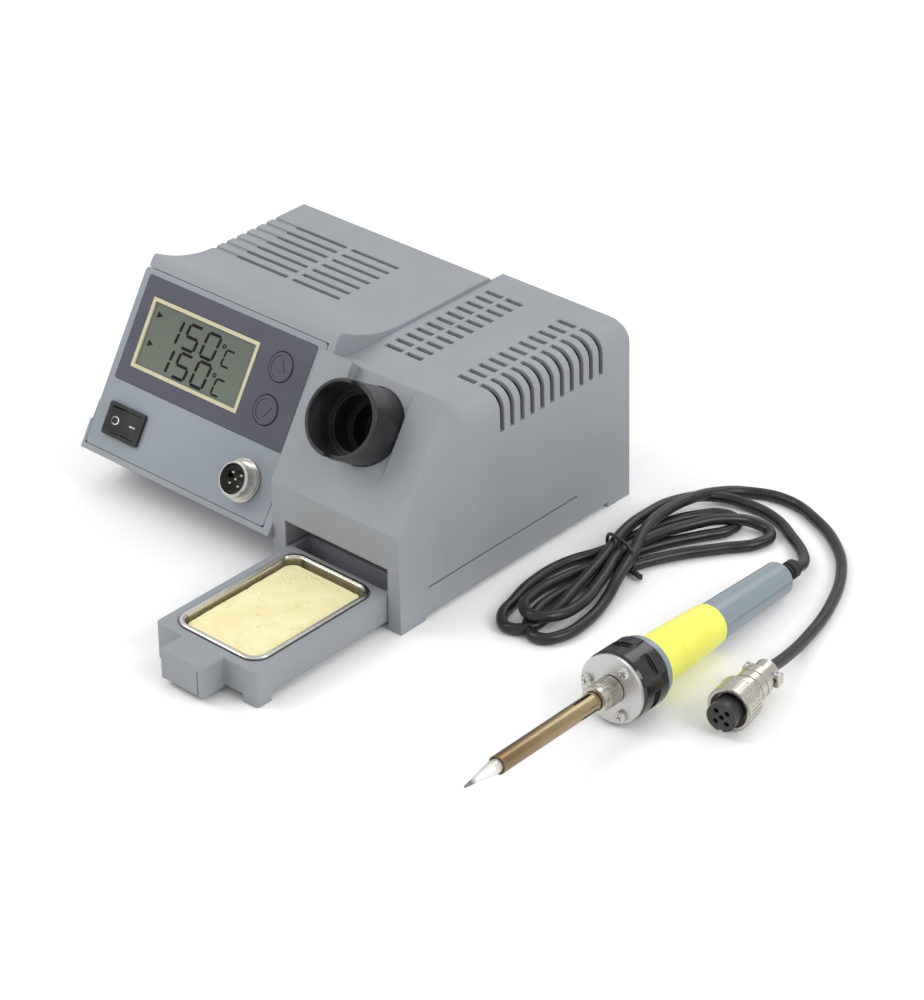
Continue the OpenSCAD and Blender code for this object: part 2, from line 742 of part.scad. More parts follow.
// Two flats that meet in a shallow V, with the right-hand one pressed level; marks O and I.
module rocker() {
    on_panel() color(c_black) translate([rocker_x, rocker_y, rock_axis_z]) rotate([0, rock_angle, 0])
        difference() {
            union() {
                rotate([90, 0, 0]) linear_extrude(rock_h, center = true)
                    polygon([[-rock_w / 2 + 0.5, -2.2], [-rock_w / 2, 2.4], [-rock_w / 2 + 0.4, 4.9],
                        [0, 3.5], [rock_w / 2 - 0.4, 4.9], [rock_w / 2, 2.4], [rock_w / 2 - 0.5, -2.2]]);
                rotate([90, 0, 0]) cylinder(r = 0.8, h = rock_h + 1.4, center = true);
            }
            translate([-4.7, 0, 3.8]) difference() {
                cylinder(r = 2, h = 2);
                translate([0, 0, -1]) cylinder(r = 1.35, h = 4);
            }
            translate([4.7 - 1.8, -0.35, 3.8]) cube([3.6, 0.7, 2]);
        }
}

socket_wall = 1.2;
neck_r = socket_d / 2 - 0.3;
module socket_shell() {
    on_panel() color(c_steel) translate([socket_x, socket_y, 0]) difference() {
        union() {
            cylinder(r = socket_d / 2 + 1.6, h = 1.6);
            translate([0, 0, 1]) cylinder(r = socket_d / 2, h = socket_out - 1.5);
            translate([0, 0, -9]) cylinder(r = neck_r, h = 10);
            translate([0, 0, socket_out - 0.5])
                cylinder(r1 = socket_d / 2, r2 = socket_d / 2 - 0.5, h = 0.5);
        }
        translate([0, 0, -10]) cylinder(r = socket_d / 2 - socket_wall, h = 30);
        for (i = [0:3]) translate([0, 0, 2.6 + i * 1.2]) difference() {
            cylinder(r = socket_d / 2 + 1, h = 0.4);
            translate([0, 0, -1]) cylinder(r = socket_d / 2 - 0.25, h = 3);
        }
    }
}
module socket_insert() {
    on_panel() color(c_black) translate([socket_x, socket_y, 0]) difference() {
        translate([0, 0, -10.5]) cylinder(r = socket_d / 2 - socket_wall - 0.05, h = 11.5);
        for (p = pin_at) translate([p[0], p[1], -12]) cylinder(r = pin_r, h = 20, $fn = 24);
        translate([-socket_d / 2, -0.9, -2]) cube([2.6, 1.8, 6]);
    }
}
pin_r = 0.75;
pin_at = concat([[0, 0]], [for (a = [45:90:315]) 3.4 * [cos(a), sin(a)]]);
module socket_pins() {
    on_panel() color("#c9a64e") translate([socket_x, socket_y, 0]) for (p = pin_at)
        translate([p[0], p[1], -15]) union() {
            cylinder(r = pin_r, h = 20, $fn = 24);
            translate([0, 0, 20]) cylinder(r1 = pin_r, r2 = pin_r * 0.5, h = 0.6, $fn = 24);
        }
}
module socket_nut() {
    on_panel() color(c_steel) translate([socket_x, socket_y, -panel_t - 2.6]) difference() {
        cylinder(r = 11.2, h = 2.5, $fn = 6);
        translate([0, 0, -1]) cylinder(r = neck_r + 0.05, h = 5);
    }
}

// ---- tip holder ----------------------------------------------------------------------------------
ear_t = 1.8;
// A stepped funnel in two halves. The left half stands further out than the right half.
funnel_end = -48;
tube_r = 7;
throat_r = 5;
module funnel_half(outer, out) {
    top = out;
    rotate_extrude(angle = 180) polygon([
        [tube_r, funnel_end + 2], [tube_r, -14], [holder_r - 7, -14], [holder_r - 7, -5],
        [holder_r - 4.6, -5], [holder_r - 4.6, 5], [holder_r - 2.2, 5], [holder_r - 2.2, top - 0.8],
        [holder_r - 1.8, top], [outer - 0.5, top], [outer, top - 0.5], [outer, -5], [holder_r - 3, -5],
        [holder_r - 3, -16], [tube_r + 2, -16], [tube_r + 2, funnel_end], [throat_r, funnel_end],
        [throat_r, funnel_end + 2]]);
}
module iron_holder() {
    on_face() color(c_black) translate([0, holder_up, 0]) union() {
        rotate(-90) funnel_half(holder_r, holder_out + 1);
        rotate(90) funnel_half(holder_r - 0.3, holder_out + 4.5);
        // Ears that hold it behind the face.
        for (s = [-1, 1]) difference() {
            translate([s * holder_r - 4, -9, -ear_t - recess_deep - wall - 0.1]) cube([8, 18, ear_t]);
            translate([0, 0, -14]) cylinder(r = holder_r - 3.4, h = 8);
        }
    }
}

// ---- drawer --------------------------------------------------------------------------------------
drawer_y = front_y - drawer_out;
drawer_foot = 8;
tab_w = 23.5;
tab_x = drawer_x - 1.3;
tab_out = 12;
tin_x = drawer_x;
tin_y = drawer_y + 4.4;
tin_r = 7;
tin_deep = drawer_h - drawer_floor - 2.4;
module drawer() {
    color(c_shell) difference() {
        union() {
            intersection() {
                union() {
                    translate([drawer_x - drawer_w / 2, drawer_y, drawer_floor])
                        cube([drawer_w, drawer_l, drawer_h - drawer_floor]);
                    for (s = [0, 1])
                        translate([drawer_x - drawer_w / 2 + s * (drawer_w - drawer_foot), drawer_y, 0])
                            cube([drawer_foot, drawer_foot, drawer_floor + eps]);
                }
                translate([drawer_x, drawer_y + drawer_l / 2, -1]) linear_extrude(drawer_h + 2)
                    plate(drawer_w, drawer_l, 2);
            }
            translate([tab_x - tab_w / 2, drawer_y - tab_out, 2.8])
                cube([tab_w, tab_out + eps, drawer_h - 2.8]);
        }
        translate([tin_x, tin_y + tin_l / 2, drawer_h - tin_deep - 0.8]) linear_extrude(30)
            plate(tin_w - 1, tin_l - 1, tin_r);
        translate([tin_x, tin_y + tin_l / 2, drawer_h - 0.8]) linear_extrude(30)
            plate(tin_w + 1, tin_l + 1, tin_r + 1);
        // Hollow behind the tin and inside the tab.
        translate([drawer_x - drawer_w / 2 + 2.4, tin_y + tin_l + 3, drawer_floor + 2])
            cube([drawer_w - 4.8, drawer_y + drawer_l - tin_y - tin_l - 5.4, drawer_h]);
        translate([tab_x - tab_w / 2 + 2, drawer_y - tab_out + 2, 1])
            cube([tab_w - 4, tab_out - 2, drawer_h - 3]);
        translate([tab_x + tab_w / 2 - 3.4, drawer_y - tab_out - 1, 0]) cube([0.6, 1.6, drawer_h - 2.4]);
    }
}

tin_t = 0.6;
bead_r = 1;
module tin_ring(grow) {
    plate(tin_w - 2 * bead_r + 2 * grow, tin_l - 2 * bead_r + 2 * grow, tin_r + grow);
}
// Pressed steel tray with a rolled bead round its rim.
module sponge_tin() {
    color(c_steel) translate([tin_x, tin_y + tin_l / 2, drawer_h]) difference() {
        union() {
            translate([0, 0, -tin_deep]) linear_extrude(tin_deep) tin_ring(-0.6);
            translate([0, 0, -0.7]) linear_extrude(1.5) tin_ring(bead_r);
            translate([0, 0, 0.7]) linear_extrude(0.4) tin_ring(bead_r - 0.3);
        }
        translate([0, 0, -tin_deep + tin_t]) linear_extrude(tin_deep + 4) tin_ring(-0.6 - tin_t);
        translate([0, 0, 0.4]) linear_extrude(3) tin_ring(-0.7);
    }
}
sponge_w = tin_w - 6.2;
sponge_l = tin_l - 7;
module sponge() {
    color("#e8d68a") translate([tin_x + 0.5, tin_y + tin_l / 2 - 0.9, drawer_h - tin_deep + tin_t + 0.1])
        linear_extrude(tin_deep - 2.4) plate(sponge_w, sponge_l, 5);
}

// ---- iron ----------------------------------------------------------------------------------------
// Places along the iron's axis, from the point of its tip.
barrel_from = 19.5;
nut_from = barrel_from + barrel_l + 0.4;
nut_l = 8;
disc_from = nut_from + nut_l + 0.5;
collar_from = disc_from + 1.6;
collar_l = 17.5;
ring_from = collar_from + collar_l;
ring_l = 5;
grip_from = ring_from + ring_l;
handle_from = grip_from + grip_l;
handle_end = handle_from + handle_l;
grip_r1 = 10.9;
grip_r2 = 9.2;
handle_r = 8.6;
disc_r = collar_r - 0.4;
contact_at = collar_from + collar_l - 1;
// It lies on the back edge of its collar and the back end of its handle, its tip in the air.
iron_tilt = atan((collar_r - handle_end_r) / (handle_end - 1 - contact_at));
iron_x = 201.5;
iron_y = -159;
iron_turn = 3.2;
iron_z = contact_at * sin(iron_tilt) + collar_r * cos(iron_tilt) + 0.05;
module on_iron() {
    translate([iron_x, iron_y, iron_z]) rotate([0, 0, iron_turn]) rotate([-90 - iron_tilt, 0, 0]) children();
}

bit_r = barrel_r - 1;
heater_r = barrel_r - 2.15;
module soldering_tip() {
    on_iron() color("#d9d9d6") difference() {
        union() {
            cylinder(r1 = 0.5, r2 = 1.1, h = 5);
            translate([0, 0, 5]) cylinder(r1 = 1.1, r2 = bit_r, h = 11);
            translate([0, 0, 16]) cylinder(r = bit_r, h = 17);
        }
        translate([0, 0, 24]) cylinder(r = heater_r + 0.15, h = 20);
        for (s = [-1, 1]) translate([0, s * 1.3, -0.01]) rotate([s * -9, 0, 0])
            translate([-3, s > 0 ? 0 : -2, -1]) cube([6, 2, 5]);
    }
}
module tip_barrel() {
    on_iron() color(c_brass) difference() {
        union() {
            translate([0, 0, barrel_from]) cylinder(r = barrel_r, h = barrel_l);
            translate([0, 0, barrel_from + barrel_l - 1.4]) cylinder(r = barrel_r + 0.9, h = 1.4);
        }
        translate([0, 0, barrel_from - 1]) cylinder(r = barrel_r - 0.5, h = barrel_l + 4);
        for (a = [20:120:260]) rotate(a) translate([0, -0.7, nut_from - 16]) cube([barrel_r + 2, 1.4, 11]);
    }
}
module heater_core() {
    on_iron() color("#e6e2d6") translate([0, 0, 25]) cylinder(r = heater_r, h = collar_from + 6 - 25);
}
// Knurled nut that holds the barrel on the flange's threaded neck.
nut_teeth = 30;
nut_lip = 3.2;
nut_bore = barrel_r + 1.2;
module barrel_nut() {
    on_iron() color(c_steel) difference() {
        union() {
            translate([0, 0, nut_from - nut_lip]) cylinder(r = nut_bore + 0.6, h = nut_lip + 0.4);
            translate([0, 0, nut_from]) cylinder(r = nut_bore + 0.9, h = nut_l);
        }
        translate([0, 0, nut_from - 5]) cylinder(r = barrel_r + 0.3, h = 6);
        translate([0, 0, nut_from - nut_lip + 1.2]) cylinder(r = nut_bore, h = nut_l + nut_lip);
        for (i = [0:nut_teeth - 1]) rotate(i * 360 / nut_teeth)
            translate([nut_bore + 0.7, -0.2, nut_from + 1])
            cube([1, 0.4, nut_l - 1.6]);
    }
}
screw_ring = disc_r - 3.2;
screw_turn = 60;
module flange_disc() {
    on_iron() color(c_steel) difference() {
        union() {
            translate([0, 0, disc_from]) cylinder(r = disc_r, h = 1.5);
            translate([0, 0, nut_from + 1.6]) cylinder(r = nut_bore - 0.05, h = nut_l);
        }
        translate([0, 0, nut_from]) cylinder(r = 2.2, h = nut_l + 6);
        for (a = [0:120:240]) rotate(a + screw_turn) translate([screw_ring, 0, disc_from - 1])
            cylinder(r = 1.4, h = 4);
    }
}
module flange_screws() {
    on_iron() color(c_steel) for (a = [0:120:240]) rotate(a + screw_turn)
        translate([screw_ring, 0, disc_from]) rotate([180, 0, 0]) pan_screw(1.25, 2.5, 8);
}
notch_n = 6;
module collar_ring() {
    on_iron() color(c_black) difference() {
        union() {
            translate([0, 0, collar_from - 0.1]) cylinder(r1 = collar_r - 0.5, r2 = collar_r, h = 1.6);
            translate([0, 0, collar_from + 1.4]) cylinder(r = collar_r, h = collar_l - 2.4);
            translate([0, 0, collar_from + collar_l - 1 - eps])
                cylinder(r1 = collar_r, r2 = collar_r - 1, h = 1 + eps);
        }
        translate([0, 0, collar_from + 7]) cylinder(r = handle_r + 0.3, h = collar_l);
        translate([0, 0, collar_from - 1]) cylinder(r = 2.6, h = 9);
        for (a = [0:120:240]) rotate(a + screw_turn) translate([screw_ring, 0, collar_from - 1])
            cylinder(r = 1.3, h = 8);
        for (i = [0:notch_n - 1]) rotate(i * 360 / notch_n + 14)
            translate([collar_r - 1.3, -4.6, collar_from + 6.5]) cube([3, 9.2, 4.4]);
        for (i = [0:notch_n - 1]) rotate(i * 360 / notch_n - 16)
            translate([collar_r - 1.1, -2.4, collar_from + 12]) cube([3, 4.8, 8]);
    }
}
module handle_ring() {
    on_iron() color(c_handle) difference() {
        union() {
            translate([0, 0, ring_from + eps]) cylinder(r = collar_r - 1.2, h = 3);
            translate([0, 0, ring_from + 3]) cylinder(r1 = collar_r - 1.2, r2 = grip_r1 + 1, h = ring_l - 3);
        }
        translate([0, 0, ring_from - 1]) cylinder(r = handle_r + 0.05, h = ring_l + 3);
    }
}
module foam_grip() {
    on_iron() color(c_yellow) difference() {
        translate([0, 0, grip_from + 0.1]) cylinder(r1 = grip_r1, r2 = grip_r2, h = grip_l - 0.2);
        translate([0, 0, grip_from - 1]) cylinder(r = handle_r + 0.05, h = grip_l + 3);
    }
}
module handle_shell() {
    on_iron() color(c_handle) difference() {
        union() {
            translate([0, 0, collar_from + 7.2])
                cylinder(r = handle_r, h = handle_from - collar_from - 7.2 + eps);
            translate([0, 0, handle_from]) cylinder(r1 = handle_r, r2 = handle_end_r, h = handle_l - 1);
            translate([0, 0, handle_end - 1 - eps])
                cylinder(r1 = handle_end_r, r2 = handle_end_r - 0.9, h = 1 + eps);
        }
        translate([0, 0, collar_from]) cylinder(r = handle_end_r - 1.7, h = handle_end - collar_from - 2);
        translate([0, 0, handle_end - 6]) cylinder(r = 4.05, h = 10);
    }
}
relief_l = 11;
module strain_relief() {
    on_iron() color(c_black) union() {
        difference() {
            union() {
                translate([0, 0, handle_end - 5]) cylinder(r = 4, h = 5.4);
                translate([0, 0, handle_end + 0.3]) cylinder(r1 = 4.4, r2 = 3.3, h = relief_l - 0.3);
                translate([0, 0, handle_end + relief_l - 4]) cylinder(r = 4.1, h = 4);
            }
            for (i = [0:2]) translate([0, 0, handle_end + 1.6 + i * 2]) difference() {
                cylinder(r = 6, h = 0.8);
                translate([0, 0, -1]) cylinder(r = 2.9, h = 3);
            }
            translate([0, 0, handle_end - 6]) cylinder(r = cord_d / 2, h = 7);
        }
    }
}

// ---- cord ----------------------------------------------------------------------------------------
// The lead from the handle to the hank, and the tail from the hank to the plug, as [x, y, z].
lead_out = [-sin(iron_turn) * cos(iron_tilt), cos(iron_turn) * cos(iron_tilt), -sin(iron_tilt)];
lead_from = [iron_x, iron_y, iron_z] + (handle_end + relief_l) * lead_out;
lead_points = [lead_from, [188, 73, 4], [184, 81, 3], [176, 88, 2.6], [168, 94, 2.6], [158, 98, 2.6]];
plug_x = 228.5;
plug_y = -7.5;
plug_turn = 9;
plug_z = 9.7;
tail_points = [[134, 101, 3], [142, 108, 2.6], [153, 111, 2.6], [166, 109, 2.6], [179, 104, 2.6],
    [191, 96, 2.6], [201, 85, 2.6], [208, 72, 2.6], [214, 58, 2.6], [219, 43, 2.6], [223, 28, 3.4],
    [226, 14, 5.4], [plug_x - 1, plug_y + 7, 8.8], [plug_x, plug_y, plug_z]];
cord_sides = 8;

function unit(v) = v / norm(v);
function tangent(p, i) = unit(p[min(i + 1, len(p) - 1)] - p[max(i - 1, 0)]);
// Catmull-Rom subdivision of the chosen points, three rings to a stretch.
function between(p, i, s) =
    let (a = p[max(i - 1, 0)], b = p[i], c = p[i + 1], d = p[min(i + 2, len(p) - 1)])
    0.5 * (2 * b + (c - a) * s + (2 * a - 5 * b + 4 * c - d) * s * s + (3 * b - 3 * c + d - a) * s * s * s);
function smooth(p, n) =
    concat([for (i = [0:len(p) - 2]) for (k = [0:n - 1]) between(p, i, k / n)], [p[len(p) - 1]]);
function ring(c, t, r) =
    let (side = unit(cross([0, 0, 1], t)), up = cross(t, side))
    [for (j = [0:cord_sides - 1]) c + r * (cos((j + 0.5) * 360 / cord_sides) * side
        + sin((j + 0.5) * 360 / cord_sides) * up)];
module tube(route, r) {
    p = smooth(route, 2);
    n = cord_sides;
    m = len(p);
    polyhedron(
        points = [for (i = [0:m - 1]) each ring(p[i], tangent(p, i), r)],
        faces = concat(
            [[for (j = [0:n - 1]) j]],
            [for (i = [0:m - 2]) for (j = [0:n - 1])
                [i * n + (j + 1) % n, i * n + j, (i + 1) * n + j, (i + 1) * n + (j + 1) % n]],
            [[for (j = [n - 1:-1:0]) (m - 1) * n + j]]));
}

module cord_lead() {
    color(c_black) tube(lead_points, cord_d / 2);
}
module cord_tail() {
    color(c_black) tube(tail_points, cord_d / 2);
}

hank_h = 2.2 * cord_d;
tie_at = [126, 27];
tie_w = 3;
tie_half = 8.6;
tie_turn = -12;
module hank_outline() {
    hull() {
        translate([129, -27]) circle(r = 19, $fn = 32);
        translate(tie_at) circle(r = tie_half - 1, $fn = 32);
    }
    hull() {
        translate([141, 82]) circle(r = 19, $fn = 32);
        translate(tie_at) circle(r = tie_half - 1, $fn = 32);
    }
}
module tie_box(w, grow) {
    translate([tie_at[0], tie_at[1], 0]) rotate(tie_turn) translate([-tie_half - grow, -w / 2, 0])
        cube([2 * (tie_half + grow), w, hank_h + 1 + grow]);
}
module cord_hank() {
    color(c_black) difference() {
        linear_extrude(hank_h) hank_outline();
        difference() {
            tie_box(tie_w + 0.4, 10);
            translate([0, 0, 1.2]) tie_box(tie_w + 2, -1.6);
        }
        translate([tie_at[0] - 15, tie_at[1] - 6, hank_h - 0.2]) cube([30, 12, 3]);
    }
}
module cord_tie() {
    color(c_black) difference() {
        tie_box(tie_w, 0.4);
        translate([0, 0, 1.1]) difference() {
            tie_box(tie_w + 4, -1.5);
            translate([0, 0, hank_h - 0.9]) tie_box(40, 20);
        }
    }
}

// ---- plug ----------------------------------------------------------------------------------------
// Axis frame: z runs from the plug's face back to the cord.
plug_l = 39;
ring_r = socket_d / 2 + 1.7;
module on_plug() {
    translate([plug_x, plug_y, plug_z]) rotate([0, 0, plug_turn]) rotate([90, 0, 0])
        translate([0, 0, plug_l])
        rotate([180, 0, 0]) children();
}
shell_r = 7.1;
shell_l = 9.6;
insert_out = 3;
clamp_from = 16.4 + insert_out + shell_l;
lug_x = 6.35;
module plug_shell() {
    on_plug() color(c_steel) difference() {
        union() {
            translate([0, 0, insert_out + 6]) cylinder(r = 6.6, h = 9);
            translate([0, 0, insert_out + 14.4]) cylinder(r = shell_r + 0.9, h = 2);
            translate([0, 0, insert_out + 16.4]) cylinder(r = shell_r, h = shell_l);
        }
        translate([0, 0, insert_out + 5]) cylinder(r = 5.9, h = 12);
        translate([0, 0, insert_out + 16]) cylinder(r = 5.2, h = shell_l + 2);
        for (i = [0:1]) translate([0, 0, insert_out + 18.4 + i * 4.6]) difference() {
            cylinder(r = shell_r + 2, h = 0.5);
            translate([0, 0, -1]) cylinder(r = shell_r - 0.35, h = 3);
        }
    }
}
module plug_insert() {
    on_plug() color(c_black) difference() {
        union() {
            cylinder(r = 6.4, h = insert_out + 5.9);
            translate([0, 0, insert_out + 5.8]) cylinder(r = 5.8, h = 8.8);
        }
        for (p = pin_at) translate([p[0], p[1], -1]) {
            cylinder(r = pin_r + 0.2, h = insert_out + 9, $fn = 24);
            cylinder(r1 = pin_r + 1.2, r2 = pin_r + 0.2, h = 1.5, $fn = 24);
        }
        rotate(90) translate([5.6, -0.9, -1]) cube([2, 1.8, 6]);
    }
}
// Saddle clamp that grips the cord behind the shell.
module plug_clamp() {
    on_plug() color(c_steel) difference() {
        union() {
            translate([0, 0, clamp_from]) cylinder(r = shell_r - 0.4, h = 2.4);
            translate([0, 0, clamp_from + 2]) cylinder(r = 5.2, h = plug_l - clamp_from - 2.4);
            translate([-8, -2.2, clamp_from + 3.4]) cube([16, 4.4, 4.8]);
        }
        translate([0, 0, clamp_from - 6]) cylinder(r = cord_d / 2 + 0.05, h = 20);
        translate([-10, 2.2 + 0.6, clamp_from + 2.6]) cube([20, 6, 8]);
        for (s = [-1, 1]) translate([s * lug_x, 0, clamp_from + 5.8]) rotate([90, 0, 0])
            cylinder(r = 0.95, h = 12, center = true);
    }
}
module clamp_screws() {
    on_plug() color(c_steel) for (s = [-1, 1]) translate([s * lug_x, -2.2, clamp_from + 5.8])
        rotate([90, 0, 0])
        pan_screw(0.9, 1.45, 4);
}
// Knurled ring that turns on the plug and screws onto the socket.
module coupling_ring() {
    on_plug() color(c_steel) difference() {
        union() {
            translate([0, 0, insert_out + 3.2]) cylinder(r = ring_r - 0.4, h = 0.6);
            translate([0, 0, insert_out + 3.7]) cylinder(r = ring_r, h = 9.9);
            translate([0, 0, insert_out + 13.5]) cylinder(r1 = ring_r, r2 = ring_r - 0.6, h = 0.6);
        }
        translate([0, 0, insert_out + 2]) cylinder(r = socket_d / 2 + 0.15, h = 10.4);
        translate([0, 0, insert_out + 5]) cylinder(r = 6.9, h = 12);
        for (i = [0:35]) rotate(i * 10)
            translate([ring_r - 0.25, -0.25, insert_out + 5]) cube([1, 0.5, 7.4]);
    }
}

base_tray();
hood_cover();
holder_cover();
drawer_bay();
control_panel();
keypad_overlay();
lcd_frame();
lcd_glass();
lcd_digits();
display_board();
key_switches();
button_up();
button_down();
rocker_frame();
rocker();
socket_shell();
socket_insert();
socket_pins();
socket_nut();
iron_holder();
cable_gland();
transformer_core();
transformer_coil();
transformer_bracket();
transformer_screws();
main_board();
heat_sink();
triac();
capacitors();
board_fuse();
board_screws();
case_screws();
seam_screws();
rubber_feet();
drawer();
sponge_tin();
sponge();
soldering_tip();
tip_barrel();
heater_core();
barrel_nut();
flange_disc();
flange_screws();
collar_ring();
handle_ring();
foam_grip();
handle_shell();
strain_relief();
cord_lead();
cord_hank();
cord_tail();
cord_tie();
plug_shell();
plug_insert();
plug_clamp();
clamp_screws();
coupling_ring();
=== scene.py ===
"""Looks of a soldering iron station, its iron, their tied cord and the plug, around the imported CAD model."""
import json
import math

import bmesh
import bpy
from mathutils import Matrix, Vector


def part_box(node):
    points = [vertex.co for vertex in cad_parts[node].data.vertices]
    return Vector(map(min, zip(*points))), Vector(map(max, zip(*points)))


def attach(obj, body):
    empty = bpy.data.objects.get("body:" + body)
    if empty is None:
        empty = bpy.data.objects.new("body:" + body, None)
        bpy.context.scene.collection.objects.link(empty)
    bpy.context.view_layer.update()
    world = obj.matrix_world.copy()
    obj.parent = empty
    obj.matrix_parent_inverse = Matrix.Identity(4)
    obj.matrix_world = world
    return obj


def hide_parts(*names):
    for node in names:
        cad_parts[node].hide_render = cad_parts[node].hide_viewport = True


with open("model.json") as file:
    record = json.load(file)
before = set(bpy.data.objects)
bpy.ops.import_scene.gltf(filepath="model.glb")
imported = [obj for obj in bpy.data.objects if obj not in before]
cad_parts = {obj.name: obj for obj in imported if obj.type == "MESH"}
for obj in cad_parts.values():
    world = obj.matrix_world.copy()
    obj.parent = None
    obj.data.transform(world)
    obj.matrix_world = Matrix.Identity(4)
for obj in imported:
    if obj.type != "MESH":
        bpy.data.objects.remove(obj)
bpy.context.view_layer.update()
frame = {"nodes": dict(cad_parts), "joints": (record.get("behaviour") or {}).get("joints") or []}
MM = 0.001

# ---- camera and studio -------------------------------------------------------------------------------
# A long lens looks down on the station from its front right. The room is a white tent: an even white
# surround, one large soft light high on the left and a weaker one on the right.
bpy.context.scene.view_settings.view_transform = "Standard"
camera_data = bpy.data.cameras.new("studio_camera")
camera_data.lens = 114.58
camera_data.sensor_fit = "VERTICAL"
camera_data.sensor_height = 36
camera_data.clip_start, camera_data.clip_end = 0.05, 20
camera = bpy.data.objects.new("studio_camera", camera_data)
bpy.context.scene.collection.objects.link(camera)
camera.location = (0.8255, -0.8724, 0.7230)
camera.rotation_euler = (math.radians(58.71), 0, math.radians(41.24))
bpy.context.scene.camera = camera

world = bpy.data.worlds.new("white_tent")
world.use_nodes = True
world.node_tree.nodes["Background"].inputs["Color"].default_value = (1, 1, 1, 1)
world.node_tree.nodes["Background"].inputs["Strength"].default_value = 0.84
bpy.context.scene.world = world
for name, place, size, power in (
    ("softbox_left", (-0.9, -0.75, 1.3), 0.9, 9.5),
    ("softbox_right", (1.3, 0.1, 0.9), 0.6, 7.0),
    ("softbox_back", (0.0, 1.2, 1.2), 0.7, 3.2),
):
    light = bpy.data.lights.new(name, "AREA")
    light.energy, light.size = power, size
    lamp = bpy.data.objects.new(name, light)
    bpy.context.scene.collection.objects.link(lamp)
    lamp.location = place
    aim = Vector((0.05, -0.02, 0.03)) - lamp.location
    lamp.rotation_euler = aim.to_track_quat("-Z", "Y").to_euler()


# ---- cord --------------------------------------------------------------------------------------------
# Five-millimetre silicone cord, soft and slightly glossy. It leaves the handle through a short rubber
# relief, is folded by hand into a flat hank of three loops and two bights, and runs on to the plug.
class Wire:
    """One output in a material's tree. Python's operators on it add Math nodes."""

    def __init__(self, finish, socket):
        self.finish, self.socket = finish, socket

    def math(self, operation, *values):
        return self.finish.node("ShaderNodeMath", {"operation": operation}, dict(enumerate(values)))

    def __add__(self, other):
        return self.math("ADD", self, other)

    def __radd__(self, other):
        return self.math("ADD", other, self)

    def __sub__(self, other):
        return self.math("SUBTRACT", self, other)

    def __rsub__(self, other):
        return self.math("SUBTRACT", other, self)

    def __mul__(self, other):
        return self.math("MULTIPLY", self, other)

    def __rmul__(self, other):
        return self.math("MULTIPLY", other, self)

    def __truediv__(self, other):
        return self.math("DIVIDE", self, other)

    def __pow__(self, other):
        return self.math("POWER", self, other)

    def above(self, other):
        return self.math("GREATER_THAN", self, other)


class Finish:
    """A material as it is built up: its shader's constants, and a method that adds any other node."""

    def __init__(self, name, **constants):
        self.material = bpy.data.materials.new(name)
        self.material.use_nodes = True
        self.tree = self.material.node_tree
        self.shader = self.tree.nodes["Principled BSDF"]
        for socket, value in constants.items():
            self.shader.inputs[socket.replace("_", " ")].default_value = value

    def node(self, kind, settings, values, out=0):
        made = self.tree.nodes.new(kind)
        for key, value in settings.items():
            setattr(made, key, value)
        for key, value in values.items():
            self.set(made.inputs[key], value)
        return Wire(self, made.outputs[out])

    def set(self, socket, value):
        if isinstance(value, Wire):
            self.tree.links.new(value.socket, socket)
        else:
            socket.default_value = value

    def paint(self, **links):
        for socket, value in links.items():
            self.set(self.shader.inputs[socket.replace("_", " ")], value)
        return self

    def place(self, stretch=(1, 1, 1), turn=(0, 0, 0)):
        there = self.node("ShaderNodeTexCoord", {}, {}, "Object")
        return self.node("ShaderNodeMapping", {}, {"Vector": there, "Scale": stretch, "Rotation": turn})

    def noise(self, size, stretch=(1, 1, 1), turn=(0, 0, 0), detail=3, rough=0.55):
        """Noise whose lumps are about size millimetres across."""
        return self.node("ShaderNodeTexNoise", {}, {
            "Vector": self.place(stretch, turn), "Scale": 1 / (size * MM),
            "Detail": detail, "Roughness": rough})

    def ramp(self, value, low, high, to_low=0.0, to_high=1.0):
        return self.node("ShaderNodeMapRange", {"clamp": True}, {
            "Value": value, "From Min": low, "From Max": high, "To Min": to_low, "To Max": to_high})

    def mix(self, factor, a, b):
        first, second = ((*c, 1) if isinstance(c, tuple) else c for c in (a, b))
        return self.node("ShaderNodeMix", {"data_type": "RGBA"}, {0: factor, 6: first, 7: second}, 2)

    def rounded(self, radius):
        """Normals that round off the edges of a moulding, with this radius in millimetres."""
        return self.node("ShaderNodeBevel", {"samples": 6}, {"Radius": radius * MM})

    def bump(self, height, deep, normal=None, strength=1.0):
        """Normals of a relief that is deep millimetres between height 0 and height 1."""
        values = {"Height": height, "Distance": deep * MM, "Strength": strength}
        if normal:
            values["Normal"] = normal
        return self.node("ShaderNodeBump", {}, values)


def silicone(name, colour, rough, grain=0.35):
    """Rubber with a faint bloom in patches and a fine grain."""
    finish = Finish(name, IOR=1.45)
    patch, fine = finish.noise(9, detail=4), finish.noise(grain)
    finish.paint(
        Base_Color=finish.mix(finish.ramp(patch, 0.35, 0.75), colour, tuple(c * 1.7 + 0.004 for c in colour)),
        Roughness=finish.ramp(patch, 0.3, 0.7, rough - 0.05, rough + 0.09),
        Normal=finish.bump(fine, 0.02))
    return finish.material


def linked(name, data):
    made = bpy.data.objects.new(name, data)
    bpy.context.scene.collection.objects.link(made)
    return made


cord_r = 2.5
